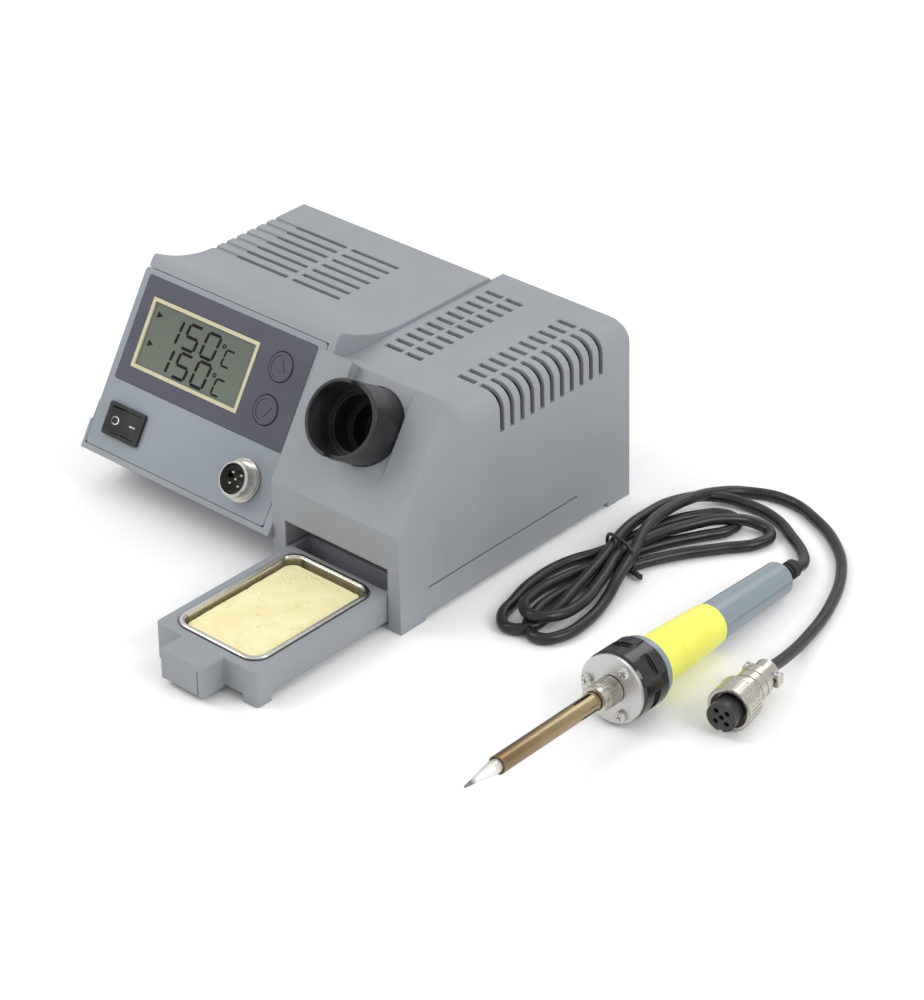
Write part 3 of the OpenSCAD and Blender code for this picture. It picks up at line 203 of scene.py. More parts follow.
# The route, in millimetres, from the relief on the handle to the clamp of the plug.
handle_to_tie = [(189, 64, 6.6), (188, 72.5, 4.4), (182, 80.5, 3.2), (171, 88.5, 2.6), (156, 96.3, 2.6),
                 (141.5, 97.8, 2.8), (127.5, 91.5, 4.6), (118.5, 75.5, 6.4), (116.8, 54, 7.6),
                 (118.6, 38, 7.9)]
loop_one = [(123.5, 22, 7.8), (130.2, -8, 6.4), (133.4, -28, 4.8), (131, -39.5, 3), (124.2, -44.2, 2.6),
            (117.2, -39.5, 2.6), (113.4, -28, 2.6), (109.9, -11.4, 2.6), (110.6, 8.8, 2.6), (117, 28, 2.6)]
inner_bight = [(119.5, 46, 2.6), (122.6, 62, 2.6), (129, 75.8, 2.6), (137.2, 84.6, 2.6), (145, 83.8, 2.6),
               (146.8, 76, 2.6), (141.2, 65, 2.6), (133, 50, 2.6), (126.6, 33, 2.6)]
loop_two = [(121.5, 15, 2.6), (117.5, -6.6, 3.4), (119, -22, 5.4), (124, -33.6, 7.4), (131, -37, 7.9),
            (137.4, -31.4, 7.5), (139.4, -18, 6.6), (134.6, 4, 7.2), (128, 25, 7.7)]
outer_bight = [(129.6, 42, 7.7), (135, 60, 7.2), (144.6, 77.4, 6.6), (154.4, 86.2, 3.8), (162.2, 84.6, 2.6),
               (162.8, 76, 2.6), (154, 63, 2.6), (141.8, 45, 2.6), (132.4, 24, 2.6)]
loop_three = [(127.4, 8, 2.6), (124.2, -12, 2.6), (125.6, -28, 2.6), (131.2, -39.6, 2.6), (139, -41.8, 2.6),
              (144.6, -34.6, 2.6), (145.6, -20, 2.6), (142.6, -4, 3.4), (138, 11, 6.6), (133.2, 25.5, 7.9)]
tie_to_plug = [(126.4, 43, 10), (123, 60, 9.2), (123.2, 77, 8), (126.4, 94, 5.2), (134.6, 106.6, 2.7),
               (150.1, 112.1, 2.6), (170.3, 106.9, 2.6), (189.2, 95.2, 2.6), (202.1, 80.6, 2.6),
               (213.9, 56.3, 2.6), (221.4, 28.6, 3.4), (226, 8, 6.6), (228.5, -7.5, 9.7)]
route = handle_to_tie + loop_one + inner_bight + loop_two + outer_bight + loop_three + tie_to_plug


def smooth_tube(name, points, radius, material, ends=True):
    """A tube on one smooth curve through points given in millimetres."""
    curve = bpy.data.curves.new(name, "CURVE")
    curve.dimensions = "3D"
    curve.resolution_u = 7
    curve.bevel_depth = radius * MM
    curve.bevel_resolution = 5
    curve.use_fill_caps = ends
    spline = curve.splines.new("BEZIER")
    spline.bezier_points.add(len(points) - 1)
    for knot, point in zip(spline.bezier_points, points):
        knot.co = Vector(point) * MM
        knot.handle_left_type = knot.handle_right_type = "AUTO"
    curve.materials.append(material)
    return linked(name, curve)


cord_skin = silicone("black_silicone", (0.010, 0.010, 0.011), 0.30)
iron_cord = smooth_tube("iron_cord", route, cord_r, cord_skin)
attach(iron_cord, "iron")
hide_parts("cord_lead", "cord_hank", "cord_tail")

# ---- tie ---------------------------------------------------------------------------------------------
# Plastic-coated wire bent once round the hank, its two ends twisted together at the side.
tie_centre, tie_turn, tie_wide, tie_high = (126.1, 27.0), math.radians(-14), 9.9, 12.6
tie_wire_r = 0.75


def on_tie(across, along, up):
    c, s = math.cos(tie_turn), math.sin(tie_turn)
    return (tie_centre[0] + across * c - along * s, tie_centre[1] + across * s + along * c, up)


tie_loop = []
for step in range(15):
    turn = math.radians(-62 + step * 314 / 14)
    across = math.copysign(abs(math.cos(turn)) ** 0.55, math.cos(turn)) * tie_wide
    rise = math.copysign(abs(math.sin(turn)) ** 0.7, math.sin(turn))
    up = tie_high / 2 + rise * (tie_high / 2 - tie_wire_r)
    tie_loop.append(on_tie(across, (step - 7) * 0.12, max(up, tie_wire_r + 0.05)))
tie_tails = [[tie_loop[-1]], [tie_loop[0]]]
for step in range(1, 7):
    for k in (0, 1):
        turn = math.pi * (step / 1.6 + k)
        out = tie_wide - 1.2 + step * 1.25
        tie_tails[k].append(on_tie(out, 0.7 * math.cos(turn) - 1.2, 2.1 + 0.65 * math.sin(turn)))
tie_path = tie_tails[1][:0:-1] + tie_loop + tie_tails[0][1:]
tie_finish = Finish("tie_coating", Roughness=0.38)
tie_finish.paint(Base_Color=tie_finish.mix(tie_finish.noise(3), (0.009, 0.009, 0.010), (0.03, 0.03, 0.032)),
                 Normal=tie_finish.bump(tie_finish.noise(0.8), 0.05))
cord_twist = smooth_tube("cord_twist_tie", tie_path, tie_wire_r, tie_finish.material)
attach(cord_twist, "iron")
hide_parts("cord_tie")

# ---- holder block ------------------------------------------------------------------------------------
# Injection-moulded ABS cover on the right, in a mid grey with a fine spark-eroded grain. It carries the tip
# holder in front, vents on its shoulder, and stands on the corners of its own walls.
def housing_plastic(name, colour):
    """Grained grey plastic: soft mottling, a slight polish where hands rub, lighter edges that are partly rub
    wear and partly a painted highlight, and rounded edges.
    """
    finish = Finish(name, IOR=1.46)
    cloud, grain = finish.noise(38, detail=2), finish.noise(0.55, detail=2)
    specks = finish.noise(2.6, detail=3)
    round_edges = finish.rounded(0.8)
    turned = finish.node("ShaderNodeVectorMath", {"operation": "DOT_PRODUCT"}, {
        0: round_edges, 1: finish.node("ShaderNodeNewGeometry", {}, {}, "Normal")}, "Value")
    edge = finish.ramp(1 - turned, 0.01, 0.16)
    darker, lighter = tuple(c * 0.955 for c in colour), tuple(c * 1.04 for c in colour)
    base = finish.mix(finish.ramp(cloud, 0.3, 0.7), darker, lighter)
    # Lighter colour along the edges, stronger in specks: partly rub wear, partly a painted highlight where the
    # edges shine.
    edge_wear_and_highlight = finish.mix(edge * finish.ramp(specks, 0.35, 0.6, 0.12, 0.6), base, tuple(c * 1.35 for c in colour))
    finish.paint(Base_Color=edge_wear_and_highlight,
                 Roughness=finish.ramp(cloud * 0.6 + specks * 0.4, 0.35, 0.65, 0.47, 0.58) - 0.08 * edge,
                 Normal=finish.bump(grain, 0.022, round_edges))
    return finish.material


def dress(node, body, material, name=None, smooth=34):
    """A welded copy of a CAD node with even normals, which is shown in the node's place."""
    mesh = frame["nodes"][node].data.copy()
    tidy = bmesh.new()
    tidy.from_mesh(mesh)
    bmesh.ops.remove_doubles(tidy, verts=tidy.verts, dist=2e-6)
    for face in tidy.faces:
        face.smooth = True
    for edge in tidy.edges:
        edge.smooth = len(edge.link_faces) == 2 and edge.calc_face_angle(0) < math.radians(smooth)
    tidy.to_mesh(mesh)
    tidy.free()
    mesh.materials.clear()
    mesh.materials.append(material)
    piece = linked(name or node + "_piece", mesh)
    weigh = piece.modifiers.new("even_normals", "WEIGHTED_NORMAL")
    weigh.keep_sharp, weigh.weight = True, 80
    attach(piece, body)
    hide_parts(node)
    return piece


shell_grey = (0.272, 0.289, 0.312)
shell_plastic = housing_plastic("grained_grey_abs", shell_grey)
dress("holder_cover", "station", shell_plastic, "block_cover", 24)

# ---- drawer bay --------------------------------------------------------------------------------------
# Guides and shelf inside the block, moulded in the same plastic; the drawer's opening looks into it.
dress("drawer_bay", "station", shell_plastic, "drawer_guides")

# ---- left housing ------------------------------------------------------------------------------------
# Hood and tray of the same grained plastic, pressed together along a level seam and held by four screws
# from below. The panel plate is let into their sloping front.
dress("hood_cover", "station", shell_plastic, "hood_shell", 24)
dress("base_tray", "station", shell_plastic, "tray_shell")
panel_plastic = housing_plastic("panel_grey_abs", (0.252, 0.277, 0.310))
dress("control_panel", "station", panel_plastic, "panel_plate")

# ---- keypad overlay ----------------------------------------------------------------------------------
# Screen-printed polyester sheet in dark slate, stuck into a shallow bed, with a very fine matt texture.
sheet = Finish("printed_slate_film", IOR=1.5, Coat_Roughness=0.35)
sheet_grain = sheet.noise(0.3, detail=2)
sheet_cloud = sheet.noise(26, detail=2)
sheet.paint(Base_Color=sheet.mix(sheet_cloud, (0.052, 0.054, 0.078), (0.064, 0.066, 0.093)),
            Roughness=sheet.ramp(sheet_cloud, 0.3, 0.7, 0.36, 0.44),
            Coat_Weight=sheet.ramp(sheet_cloud, 0.3, 0.7, 0.1, 0.2),
            Normal=sheet.bump(sheet_grain, 0.012, sheet.rounded(0.3)))
dress("keypad_overlay", "station", sheet.material, "keypad_film")

# ---- display -----------------------------------------------------------------------------------------
# Liquid-crystal module: a cream-coloured moulded rim, a grey-green cell under clear glass, and black
# segments that stand a little above their own reflector.
rim = Finish("cream_rim", IOR=1.46)
rim.paint(Base_Color=rim.mix(rim.noise(5), (0.50, 0.46, 0.30), (0.58, 0.54, 0.37)),
          Roughness=rim.ramp(rim.noise(3), 0.3, 0.7, 0.38, 0.5),
          Normal=rim.bump(rim.noise(0.4), 0.01, rim.rounded(0.25)))
dress("lcd_frame", "station", rim.material, "display_rim")
cell = Finish("liquid_crystal_cell", IOR=1.45, Coat_Roughness=0.04, Coat_Weight=0.25)
# Painted shadow: the cell's colour darkens towards its top edge, as shade cast by the rim.
cell_lean = cell.node("ShaderNodeSeparateXYZ", {}, {"Vector": cell.place()}, "Z")
cell_painted_shadow = cell.ramp(cell_lean, 0.045, 0.095)
cell.paint(Base_Color=cell.mix(cell_painted_shadow, (0.130, 0.150, 0.118), (0.085, 0.100, 0.078)),
           Roughness=cell.ramp(cell.noise(7), 0.3, 0.7, 0.22, 0.30),
           Normal=cell.bump(cell.noise(0.25), 0.003))
dress("lcd_glass", "station", cell.material, "display_cell")
ink = Finish("segment_black", IOR=1.2)
ink.paint(Base_Color=ink.mix(ink.noise(2), (0.006, 0.007, 0.006), (0.012, 0.014, 0.012)),
          Roughness=ink.ramp(ink.noise(1), 0.3, 0.7, 0.3, 0.4))
segments = dress("lcd_digits", "station", ink.material, "display_segments")


def joint(name):
    """Place and unit axis of one of the record's joints."""
    found = next(j for j in frame["joints"] if j["name"] == name)
    return Vector(found.get("pos_m", (0, 0, 0))), Vector(found["axis"]).normalized()


# The plain bar before each row is drawn as a small pointer to its reading: its right end is squeezed to a
# tip and drawn back, and its left end spread. Lengths are in millimetres; squeeze and spread are the share
# of its own height that a corner moves by.
bars_reach, tip_from, tip_back = 9, 3.2, 2.6
tip_squeeze, tail_spread = -0.85, 1.4
axle, up_panel = joint("rocker_tilt")
bar_left = min(v.co.x for v in segments.data.vertices)
bar_points = [v for v in segments.data.vertices if v.co.x < bar_left + bars_reach * MM]
between_rows = sum(v.co.dot(up_panel) for v in bar_points) / len(bar_points)
for row in (-1, 1):
    corners = [v for v in bar_points if (v.co.dot(up_panel) - between_rows) * row > 0]
    height = sum(v.co.dot(up_panel) for v in corners) / len(corners)
    for v in corners:
        at_point = v.co.x > bar_left + tip_from * MM
        v.co += up_panel * (v.co.dot(up_panel) - height) * (tip_squeeze if at_point else tail_spread)
        if at_point:
            v.co.x -= tip_back * MM


# ---- keys --------------------------------------------------------------------------------------------
# Two round caps of dark slate plastic behind holes in the overlay, each with a raised triangle, on
# tactile switches that stand on the display's circuit board.
cap = Finish("key_cap_slate", IOR=1.48)
cap_cloud = cap.noise(4)
cap.paint(Base_Color=cap.mix(cap_cloud, (0.060, 0.063, 0.088), (0.074, 0.077, 0.105)),
          Roughness=cap.ramp(cap_cloud, 0.3, 0.7, 0.36, 0.46),
          Normal=cap.bump(cap.noise(0.35), 0.012, cap.rounded(0.3)))
for side in ("up", "down"):
    dress("button_" + side, "button_" + side, cap.material, "key_" + side)

# ---- rocker switch -----------------------------------------------------------------------------------
# Bought-in mains switch of glossy black nylon: a snap-in frame with spade terminals, and a rocker with
# two flats. The marks for off and on are sunk in it and filled with white paint.
def gloss_black(name, rough=0.2, colour=(0.011, 0.011, 0.012), radius=0.4):
    finish = Finish(name, IOR=1.5)
    smear = finish.noise(6, detail=4)
    finish.paint(Base_Color=finish.mix(finish.ramp(smear, 0.35, 0.7), colour, tuple(c * 1.8 for c in colour)),
                 Roughness=finish.ramp(smear, 0.3, 0.7, rough - 0.04, rough + 0.1),
                 Normal=finish.bump(finish.noise(0.9), 0.012, finish.rounded(radius)))
    return finish


nylon = gloss_black("switch_nylon", 0.24)
dress("rocker_frame", "station", nylon.material, "switch_frame")
dress("rocker", "rocker", nylon.material, "switch_rocker")
mark = Finish("white_mark_paint")
mark.paint(Base_Color=mark.mix(mark.noise(1), (0.84, 0.84, 0.83), (0.95, 0.95, 0.94)),
           Roughness=mark.ramp(mark.noise(0.6), 0.3, 0.7, 0.4, 0.6))


# The marks lie just above the flat bottoms of their recesses, mark_out millimetres from the rocker's axle.
# The cap leans to its left by cap_lean degrees.
mark_out, cap_lean = 3.92, 10
ring_x, ring_outer, ring_inner, ring_steps = -4.7, 1.95, 1.4, 28
bar_from, bar_to, bar_half = 2.95, 6.45, 0.31
out_panel = -joint("key_up_press")[1]
lean = Matrix.Rotation(math.radians(cap_lean), 3, up_panel)
rock_x, rock_out = lean @ Vector((1, 0, 0)), lean @ out_panel


def on_rocker(x, y, z):
    return axle + (rock_x * x + up_panel * y + rock_out * z) * MM


def outline_mesh(name, rings, material):
    """A flat band between rings of points, or a flat plate if there is only one ring."""
    shape = bmesh.new()
    loops = [[shape.verts.new(p) for p in ring] for ring in rings]
    if len(loops) == 1:
        shape.faces.new(loops[0])
    else:
        for i in range(len(loops[0])):
            j = (i + 1) % len(loops[0])
            shape.faces.new((loops[0][i], loops[0][j], loops[1][j], loops[1][i]))
    mesh = bpy.data.meshes.new(name)
    shape.to_mesh(mesh)
    shape.free()
    mesh.materials.append(material)
    return linked(name, mesh)


ring_points = [[on_rocker(ring_x + r * math.cos(t), r * math.sin(t), mark_out) for t in
                (2 * math.pi * i / ring_steps for i in range(ring_steps))] for r in (ring_outer, ring_inner)]
off_mark = outline_mesh("mark_off", ring_points[::-1], mark.material)
bar = [(bar_from, -bar_half), (bar_to, -bar_half), (bar_to, bar_half), (bar_from, bar_half)]
on_mark = outline_mesh("mark_on", [[on_rocker(x, y, mark_out) for x, y in bar]], mark.material)
for piece in (off_mark, on_mark):
    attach(piece, "rocker")

# ---- panel socket ------------------------------------------------------------------------------------
# Chrome-plated 16 mm panel socket, its flange in front of the plate and a hexagon nut behind, with a black
# phenolic insert and five silvered pins.
def plated(name, colour, rough, scratch=0.02, radius=0.25, spread=0.1):
    """Plated or turned metal: fine turning marks and a roughness that varies in patches."""
    finish = Finish(name, Metallic=1.0)
    wear, lines = finish.noise(3.5, detail=4), finish.noise(0.5, stretch=(1, 1, 5), detail=4)
    finish.paint(Base_Color=finish.mix(finish.ramp(wear, 0.35, 0.7), tuple(c * 0.9 for c in colour), colour),
                 Roughness=finish.ramp(wear, 0.3, 0.7, rough, rough + spread),
                 Normal=finish.bump(lines, scratch, finish.rounded(radius)))
    return finish.material


chrome = plated("bright_nickel", (0.62, 0.61, 0.58), 0.10)
dress("socket_shell", "station", chrome, "socket_barrel")
phenolic = gloss_black("phenolic_insert", 0.34, (0.014, 0.014, 0.015), 0.2).material
dress("socket_insert", "station", phenolic, "socket_block")
contact = plated("silvered_contact", (0.74, 0.71, 0.62), 0.18, 0.005, 0.15)
dress("socket_pins", "station", contact, "socket_contacts")
zinc = plated("zinc_plate", (0.62, 0.63, 0.64), 0.27, 0.02, 0.2)
dress("socket_nut", "station", zinc, "socket_hexagon_nut")

# ---- tip holder --------------------------------------------------------------------------------------
# Stepped funnel of glass-filled black nylon, moulded in two halves. The left one stands further out of the
# block than the right one.
holder_skin = Finish("glass_filled_nylon", IOR=1.5)
swirl = holder_skin.noise(11, detail=4)
swirl_shade = holder_skin.ramp(swirl, 0.35, 0.7)
holder_skin.paint(
    Base_Color=holder_skin.mix(swirl_shade, (0.011, 0.011, 0.012), (0.026, 0.026, 0.028)),
    Roughness=holder_skin.ramp(swirl, 0.3, 0.7, 0.27, 0.42),
    Normal=holder_skin.bump(holder_skin.noise(0.5), 0.02, holder_skin.rounded(0.5)))
dress("iron_holder", "station", holder_skin.material, "tip_funnel")

# ---- drawer ------------------------------------------------------------------------------------------
# Moulded drawer in the same grey plastic, with feet at its front and a pull tab. A pressed steel tin drops
# into it.
dress("drawer", "drawer", shell_plastic, "sponge_drawer")

# ---- sponge tin --------------------------------------------------------------------------------------
# Deep-drawn tinned steel with a rolled rim, scuffed inside by wiping and slightly stained by flux.
tin = Finish("tinned_steel", Metallic=1.0)
tin_wear = tin.noise(7, detail=5)
tin_line = tin.noise(0.6, stretch=(1, 0.12, 1), detail=3)
tin_stain = tin.ramp(tin.noise(16, detail=3), 0.52, 0.72)
tin.paint(Base_Color=tin.mix(tin_stain * 0.5, (0.70, 0.69, 0.66), (0.50, 0.42, 0.30)),
          Roughness=tin.ramp(tin_wear, 0.3, 0.7, 0.18, 0.34) + 0.12 * tin_stain,
          Normal=tin.bump(tin_line, 0.01, tin.rounded(0.5)))
dress("sponge_tin", "drawer", tin.material, "wiping_tin", 50)

# ---- sponge ------------------------------------------------------------------------------------------
# Block of cellulose sponge, die-cut with rounded corners and full of pores of two sizes, as it is sold:
# pale yellow and pressed nearly flat. It lies loose in the tin.
sponge_low, sponge_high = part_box("sponge")
sponge_mid, sponge_size = (sponge_low + sponge_high) / 2, sponge_high - sponge_low
corner, pore_step = 5 * MM, 0.42 * MM
count_x, count_y, count_z = round(sponge_size.x / pore_step), round(sponge_size.y / pore_step), 12


def sponge_grid():
    """A closed rounded block whose top is a fine, even grid, in metres about the sponge's middle."""
    half_x, half_y, half_z = sponge_size.x / 2, sponge_size.y / 2, sponge_size.z / 2
    made = bmesh.new()
    layers = []
    for i in range(count_x + 1):
        for j in range(count_y + 1):
            x, y = (2 * i / count_x - 1) * half_x, (2 * j / count_y - 1) * half_y
            ox, oy = max(abs(x) - (half_x - corner), 0), max(abs(y) - (half_y - corner), 0)
            if ox > 0 and oy > 0:
                reach = max(ox, oy) / math.hypot(ox, oy)
                x = math.copysign(half_x - corner + ox * reach, x)
                y = math.copysign(half_y - corner + oy * reach, y)
            layers.append(made.verts.new((x, y, half_z)))
    for i in range(count_x):
        for j in range(count_y):
            a = i * (count_y + 1) + j
            made.faces.new((layers[a], layers[a + count_y + 1], layers[a + count_y + 2], layers[a + 1]))
    rim_edges = [e for e in made.edges if e.is_boundary]
    for k in range(count_z):
        grown = bmesh.ops.extrude_edge_only(made, edges=rim_edges)
        fresh = [g for g in grown["geom"] if isinstance(g, bmesh.types.BMVert)]
        for vert in fresh:
            vert.co.z = half_z - (k + 1) * 2 * half_z / count_z
        rim_edges = [g for g in grown["geom"] if isinstance(g, bmesh.types.BMEdge) and g.is_boundary]
    bmesh.ops.contextual_create(made, geom=rim_edges)
    bmesh.ops.recalc_face_normals(made, faces=made.faces[:])
    mesh = bpy.data.meshes.new("sponge_block")
    made.to_mesh(mesh)
    made.free()
    return mesh


def pore_tree():
    """Pushes each point in along its normal where a pore is and by a gentle unevenness, and gives the sponge
    its material.
    """
    tree = bpy.data.node_groups.new("sponge_pores", "GeometryNodeTree")
    interface = tree.interface
    interface.new_socket("Geometry", in_out="INPUT", socket_type="NodeSocketGeometry")
    for label, value in (("Pore size", 0.0021), ("Pore depth", 0.0012), ("Unevenness", 0.0005)):
        interface.new_socket(label, in_out="INPUT", socket_type="NodeSocketFloat").default_value = value
    interface.new_socket("Sponge", in_out="INPUT", socket_type="NodeSocketMaterial")
    interface.new_socket("Geometry", in_out="OUTPUT", socket_type="NodeSocketGeometry")
    new, join = tree.nodes.new, tree.links.new
    given, result = new("NodeGroupInput"), new("NodeGroupOutput")
    place, normal = new("GeometryNodeInputPosition"), new("GeometryNodeInputNormal")

    def math_node(operation, a, b):
        made = new("ShaderNodeMath")
        made.operation = operation
        for socket, value in zip(made.inputs, (a, b)):
            if isinstance(value, (int, float)):
                socket.default_value = value
            else:
                join(value, socket)
        return made.outputs[0]

    def pits(scale_by, low, high, seed):
        cells = new("ShaderNodeTexVoronoi")
        cells.voronoi_dimensions = "4D"
        cells.inputs["W"].default_value = seed
        cells.inputs["Randomness"].default_value = 1
        join(place.outputs[0], cells.inputs["Vector"])
        join(math_node("DIVIDE", scale_by, given.outputs["Pore size"]), cells.inputs["Scale"])
        shape = new("ShaderNodeMapRange")
        shape.interpolation_type = "SMOOTHSTEP"
        join(cells.outputs["Distance"], shape.inputs["Value"])
        for key, value in (("From Min", low), ("From Max", high), ("To Min", 1), ("To Max", 0)):
            shape.inputs[key].default_value = value
        return shape.outputs["Result"]

    waves = new("ShaderNodeTexNoise")
    waves.inputs["Scale"].default_value = 120
    join(place.outputs[0], waves.inputs["Vector"])
    patch = new("ShaderNodeTexNoise")
    patch.inputs["Scale"].default_value = 210
    join(place.outputs[0], patch.inputs["Vector"])
    open_here = math_node("GREATER_THAN", patch.outputs[0], 0.5)
    depth = given.outputs["Pore depth"]
    deep = math_node("MULTIPLY", math_node("MULTIPLY", pits(0.8, 0.1, 0.34, 3.7), open_here), depth)
    fine = math_node("MULTIPLY", pits(2.6, 0.1, 0.4, 9.1), math_node("MULTIPLY", depth, 0.32))
    uneven = math_node("MULTIPLY", waves.outputs[0], given.outputs["Unevenness"])
    push = math_node("MULTIPLY", math_node("ADD", math_node("ADD", deep, fine), uneven), -1)
    along = new("ShaderNodeVectorMath")
    along.operation = "SCALE"
    join(normal.outputs[0], along.inputs[0])
    join(push, along.inputs["Scale"])
    moved, real = new("GeometryNodeSetPosition"), new("GeometryNodeRealizeInstances")
    skin = new("GeometryNodeSetMaterial")
    join(given.outputs["Geometry"], moved.inputs["Geometry"])
    join(along.outputs[0], moved.inputs["Offset"])
    join(moved.outputs[0], real.inputs[0])
    join(real.outputs[0], skin.inputs["Geometry"])
    join(given.outputs["Sponge"], skin.inputs["Material"])
    join(skin.outputs[0], result.inputs[0])
    return tree


def grown(name, mesh, tree, sizes):
    """The plain mesh that a geometry tree makes from mesh, with its inputs set by name."""
    seed = linked(name + "_seed", mesh)
    nodes = seed.modifiers.new("tree", "NODES")
    nodes.node_group = tree
    for item in tree.interface.items_tree:
        if item.in_out == "INPUT" and item.name in sizes:
            nodes[item.identifier] = sizes[item.name]
    evaluated = seed.evaluated_get(bpy.context.evaluated_depsgraph_get())
    mesh = bpy.data.meshes.new_from_object(evaluated)
    seed.modifiers.remove(nodes)
    bpy.data.objects.remove(seed)
    mesh.name = name
    return linked(name, mesh)


cellulose = Finish("cellulose_sponge", Sheen_Weight=0.15, Sheen_Roughness=0.6)
tone, pith = cellulose.noise(9, detail=4), cellulose.noise(0.7, detail=5, rough=0.7)
cellulose_shade = cellulose.ramp(tone * 0.5 + pith * 0.5, 0.38, 0.62)
cellulose.paint(
    Base_Color=cellulose.mix(cellulose_shade, (0.82, 0.73, 0.37), (0.91, 0.84, 0.52)),
    Roughness=cellulose.ramp(pith, 0.3, 0.7, 0.85, 0.97), Normal=cellulose.bump(pith, 0.18))
sponge_piece = grown("cellulose_block", sponge_grid(), pore_tree(), {
    "Pore size": 0.0021, "Pore depth": 0.0012, "Unevenness": 0.0005, "Sponge": cellulose.material})
sponge_piece.data.transform(Matrix.Translation(sponge_mid))
for polygon in sponge_piece.data.polygons:
    polygon.use_smooth = True
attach(sponge_piece, "drawer")
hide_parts("sponge")

# ---- inside the housing ------------------------------------------------------------------------------
# Laminated transformer on the shelf with its enamelled winding and strap, and a mains board under the hood
# with its heat sink, switching triac, capacitors and fuse. Little of it shows, only through the vents.
lamination = Finish("blued_lamination", Metallic=0.6)
stack = lamination.noise(0.6, stretch=(0.05, 1, 0.05), detail=2)
lamination.paint(Base_Color=lamination.mix(stack, (0.035, 0.036, 0.042), (0.085, 0.086, 0.095)),
                 Roughness=lamination.ramp(stack, 0.3, 0.7, 0.35, 0.55), Normal=lamination.bump(stack, 0.08))
winding = Finish("taped_winding", IOR=1.45)
tape = winding.noise(1.2, stretch=(1, 1, 4))
winding.paint(Base_Color=winding.mix(tape, (0.52, 0.40, 0.14), (0.66, 0.54, 0.22)),
              Roughness=winding.ramp(tape, 0.3, 0.7, 0.3, 0.5), Normal=winding.bump(tape, 0.06))
laminate = Finish("circuit_laminate", IOR=1.5)
copper_side = laminate.noise(3, detail=2)
laminate.paint(Base_Color=laminate.mix(copper_side.above(0.52), (0.018, 0.110, 0.045), (0.030, 0.160, 0.070)),
               Roughness=laminate.ramp(copper_side, 0.3, 0.7, 0.3, 0.45),
               Normal=laminate.bump(copper_side.above(0.52), 0.03))
sleeve = gloss_black("capacitor_sleeve", 0.3, (0.014, 0.030, 0.075)).material
steatite = Finish("ceramic_body")
steatite.paint(Base_Color=steatite.mix(steatite.noise(3), (0.70, 0.67, 0.58), (0.82, 0.79, 0.71)),
               Roughness=steatite.ramp(steatite.noise(2), 0.3, 0.7, 0.45, 0.65),
               Normal=steatite.bump(steatite.noise(0.5), 0.01))
moulding_black = gloss_black("moulded_epoxy", 0.42).material
rubber_black = silicone("moulded_rubber", (0.012, 0.012, 0.012), 0.62, 0.5)
for node, slot, material in (
    ("display_board", "board", laminate.material), ("key_switches", "black_plastic", moulding_black),
    ("cable_gland", "rubber", rubber_black), ("transformer_core", "core_iron", lamination.material),
    ("transformer_coil", "copper", winding.material), ("transformer_bracket", "steel", zinc),
    ("transformer_screws", "steel", zinc), ("main_board", "board", laminate.material),
    ("heat_sink", "steel", zinc), ("triac", "black_plastic", moulding_black),
    ("capacitors", "cap_sleeve", sleeve), ("board_fuse", "ceramic", steatite.material),
    ("board_screws", "steel", zinc), ("case_screws", "steel", zinc), ("seam_screws", "steel", zinc),
    ("rubber_feet", "rubber", rubber_black),
):
    dress(node, "station", material)

# ---- iron's tip and barrel ---------------------------------------------------------------------------
# Iron-plated copper bit with a worn, tinned point, held in a nickel-plated brass tube that the heat has
# turned golden brown. Three slots at the back of the tube let the heat out.
iron_at, iron_axis = joint("barrel_nut_turn")


def reach_of(node):
    """How far a node runs along the iron's axis, in metres from the barrel nut's middle."""
    along = [(v.co - iron_at).dot(iron_axis) for v in frame["nodes"][node].data.vertices]
    return min(along), max(along)


def along_iron(finish, start, end):
    """0 to 1 from start to end along the iron, as a value of a material."""
    place = finish.node("ShaderNodeTexCoord", {}, {}, "Object")
    away = finish.node("ShaderNodeVectorMath", {"operation": "SUBTRACT"}, {0: place, 1: iron_at})
    run = finish.node("ShaderNodeVectorMath", {"operation": "DOT_PRODUCT"}, {0: away, 1: iron_axis}, "Value")
    return finish.ramp(run, start, end)


bit_start, bit_end = reach_of("soldering_tip")
bit = Finish("plated_bit", Metallic=0.75)
bit_run = along_iron(bit, bit_start, bit_end)
bit_tarnish, bit_pits = bit.noise(2.2, detail=5), bit.noise(0.5, detail=4)
point = bit.ramp(bit_run + 0.10 * bit_tarnish, 0.15, 0.21)
shank = bit.ramp(bit_run, 0.42, 0.55)
bit_skin = bit.mix(point, bit.mix(bit_pits, (0.10, 0.095, 0.09), (0.30, 0.29, 0.27)),
                   bit.mix(bit_tarnish, (0.74, 0.73, 0.70), (0.86, 0.85, 0.83)))
bit.paint(Base_Color=bit.mix(shank, bit_skin, (0.62, 0.60, 0.55)),
          Roughness=bit.ramp(bit_tarnish, 0.3, 0.7, 0.34, 0.52),
          Normal=bit.bump(bit_pits, 0.04, bit.rounded(0.2)))
dress("soldering_tip", "iron", bit.material, "soldering_bit", 40)
tube_start, tube_end = reach_of("tip_barrel")
tube = Finish("heat_tinted_tube", Metallic=1.0)
tube_run = along_iron(tube, tube_start, tube_end)
tube_wear, tube_grain = tube.noise(6, detail=4), tube.noise(0.7, stretch=(6, 0.4, 2), detail=3)
tint = tube.ramp(tube_run + 0.35 * tube_wear, 0.25, 1.15)
tube.paint(Base_Color=tube.mix(tint, (0.23, 0.160, 0.090), (0.42, 0.325, 0.20)),
           Roughness=tube.ramp(tube_wear, 0.3, 0.7, 0.24, 0.36),
           Normal=tube.bump(tube_grain, 0.012, tube.rounded(0.25)))
dress("tip_barrel", "iron", tube.material, "bit_barrel", 40)
dress("heater_core", "iron", steatite.material, "heater_rod", 40)

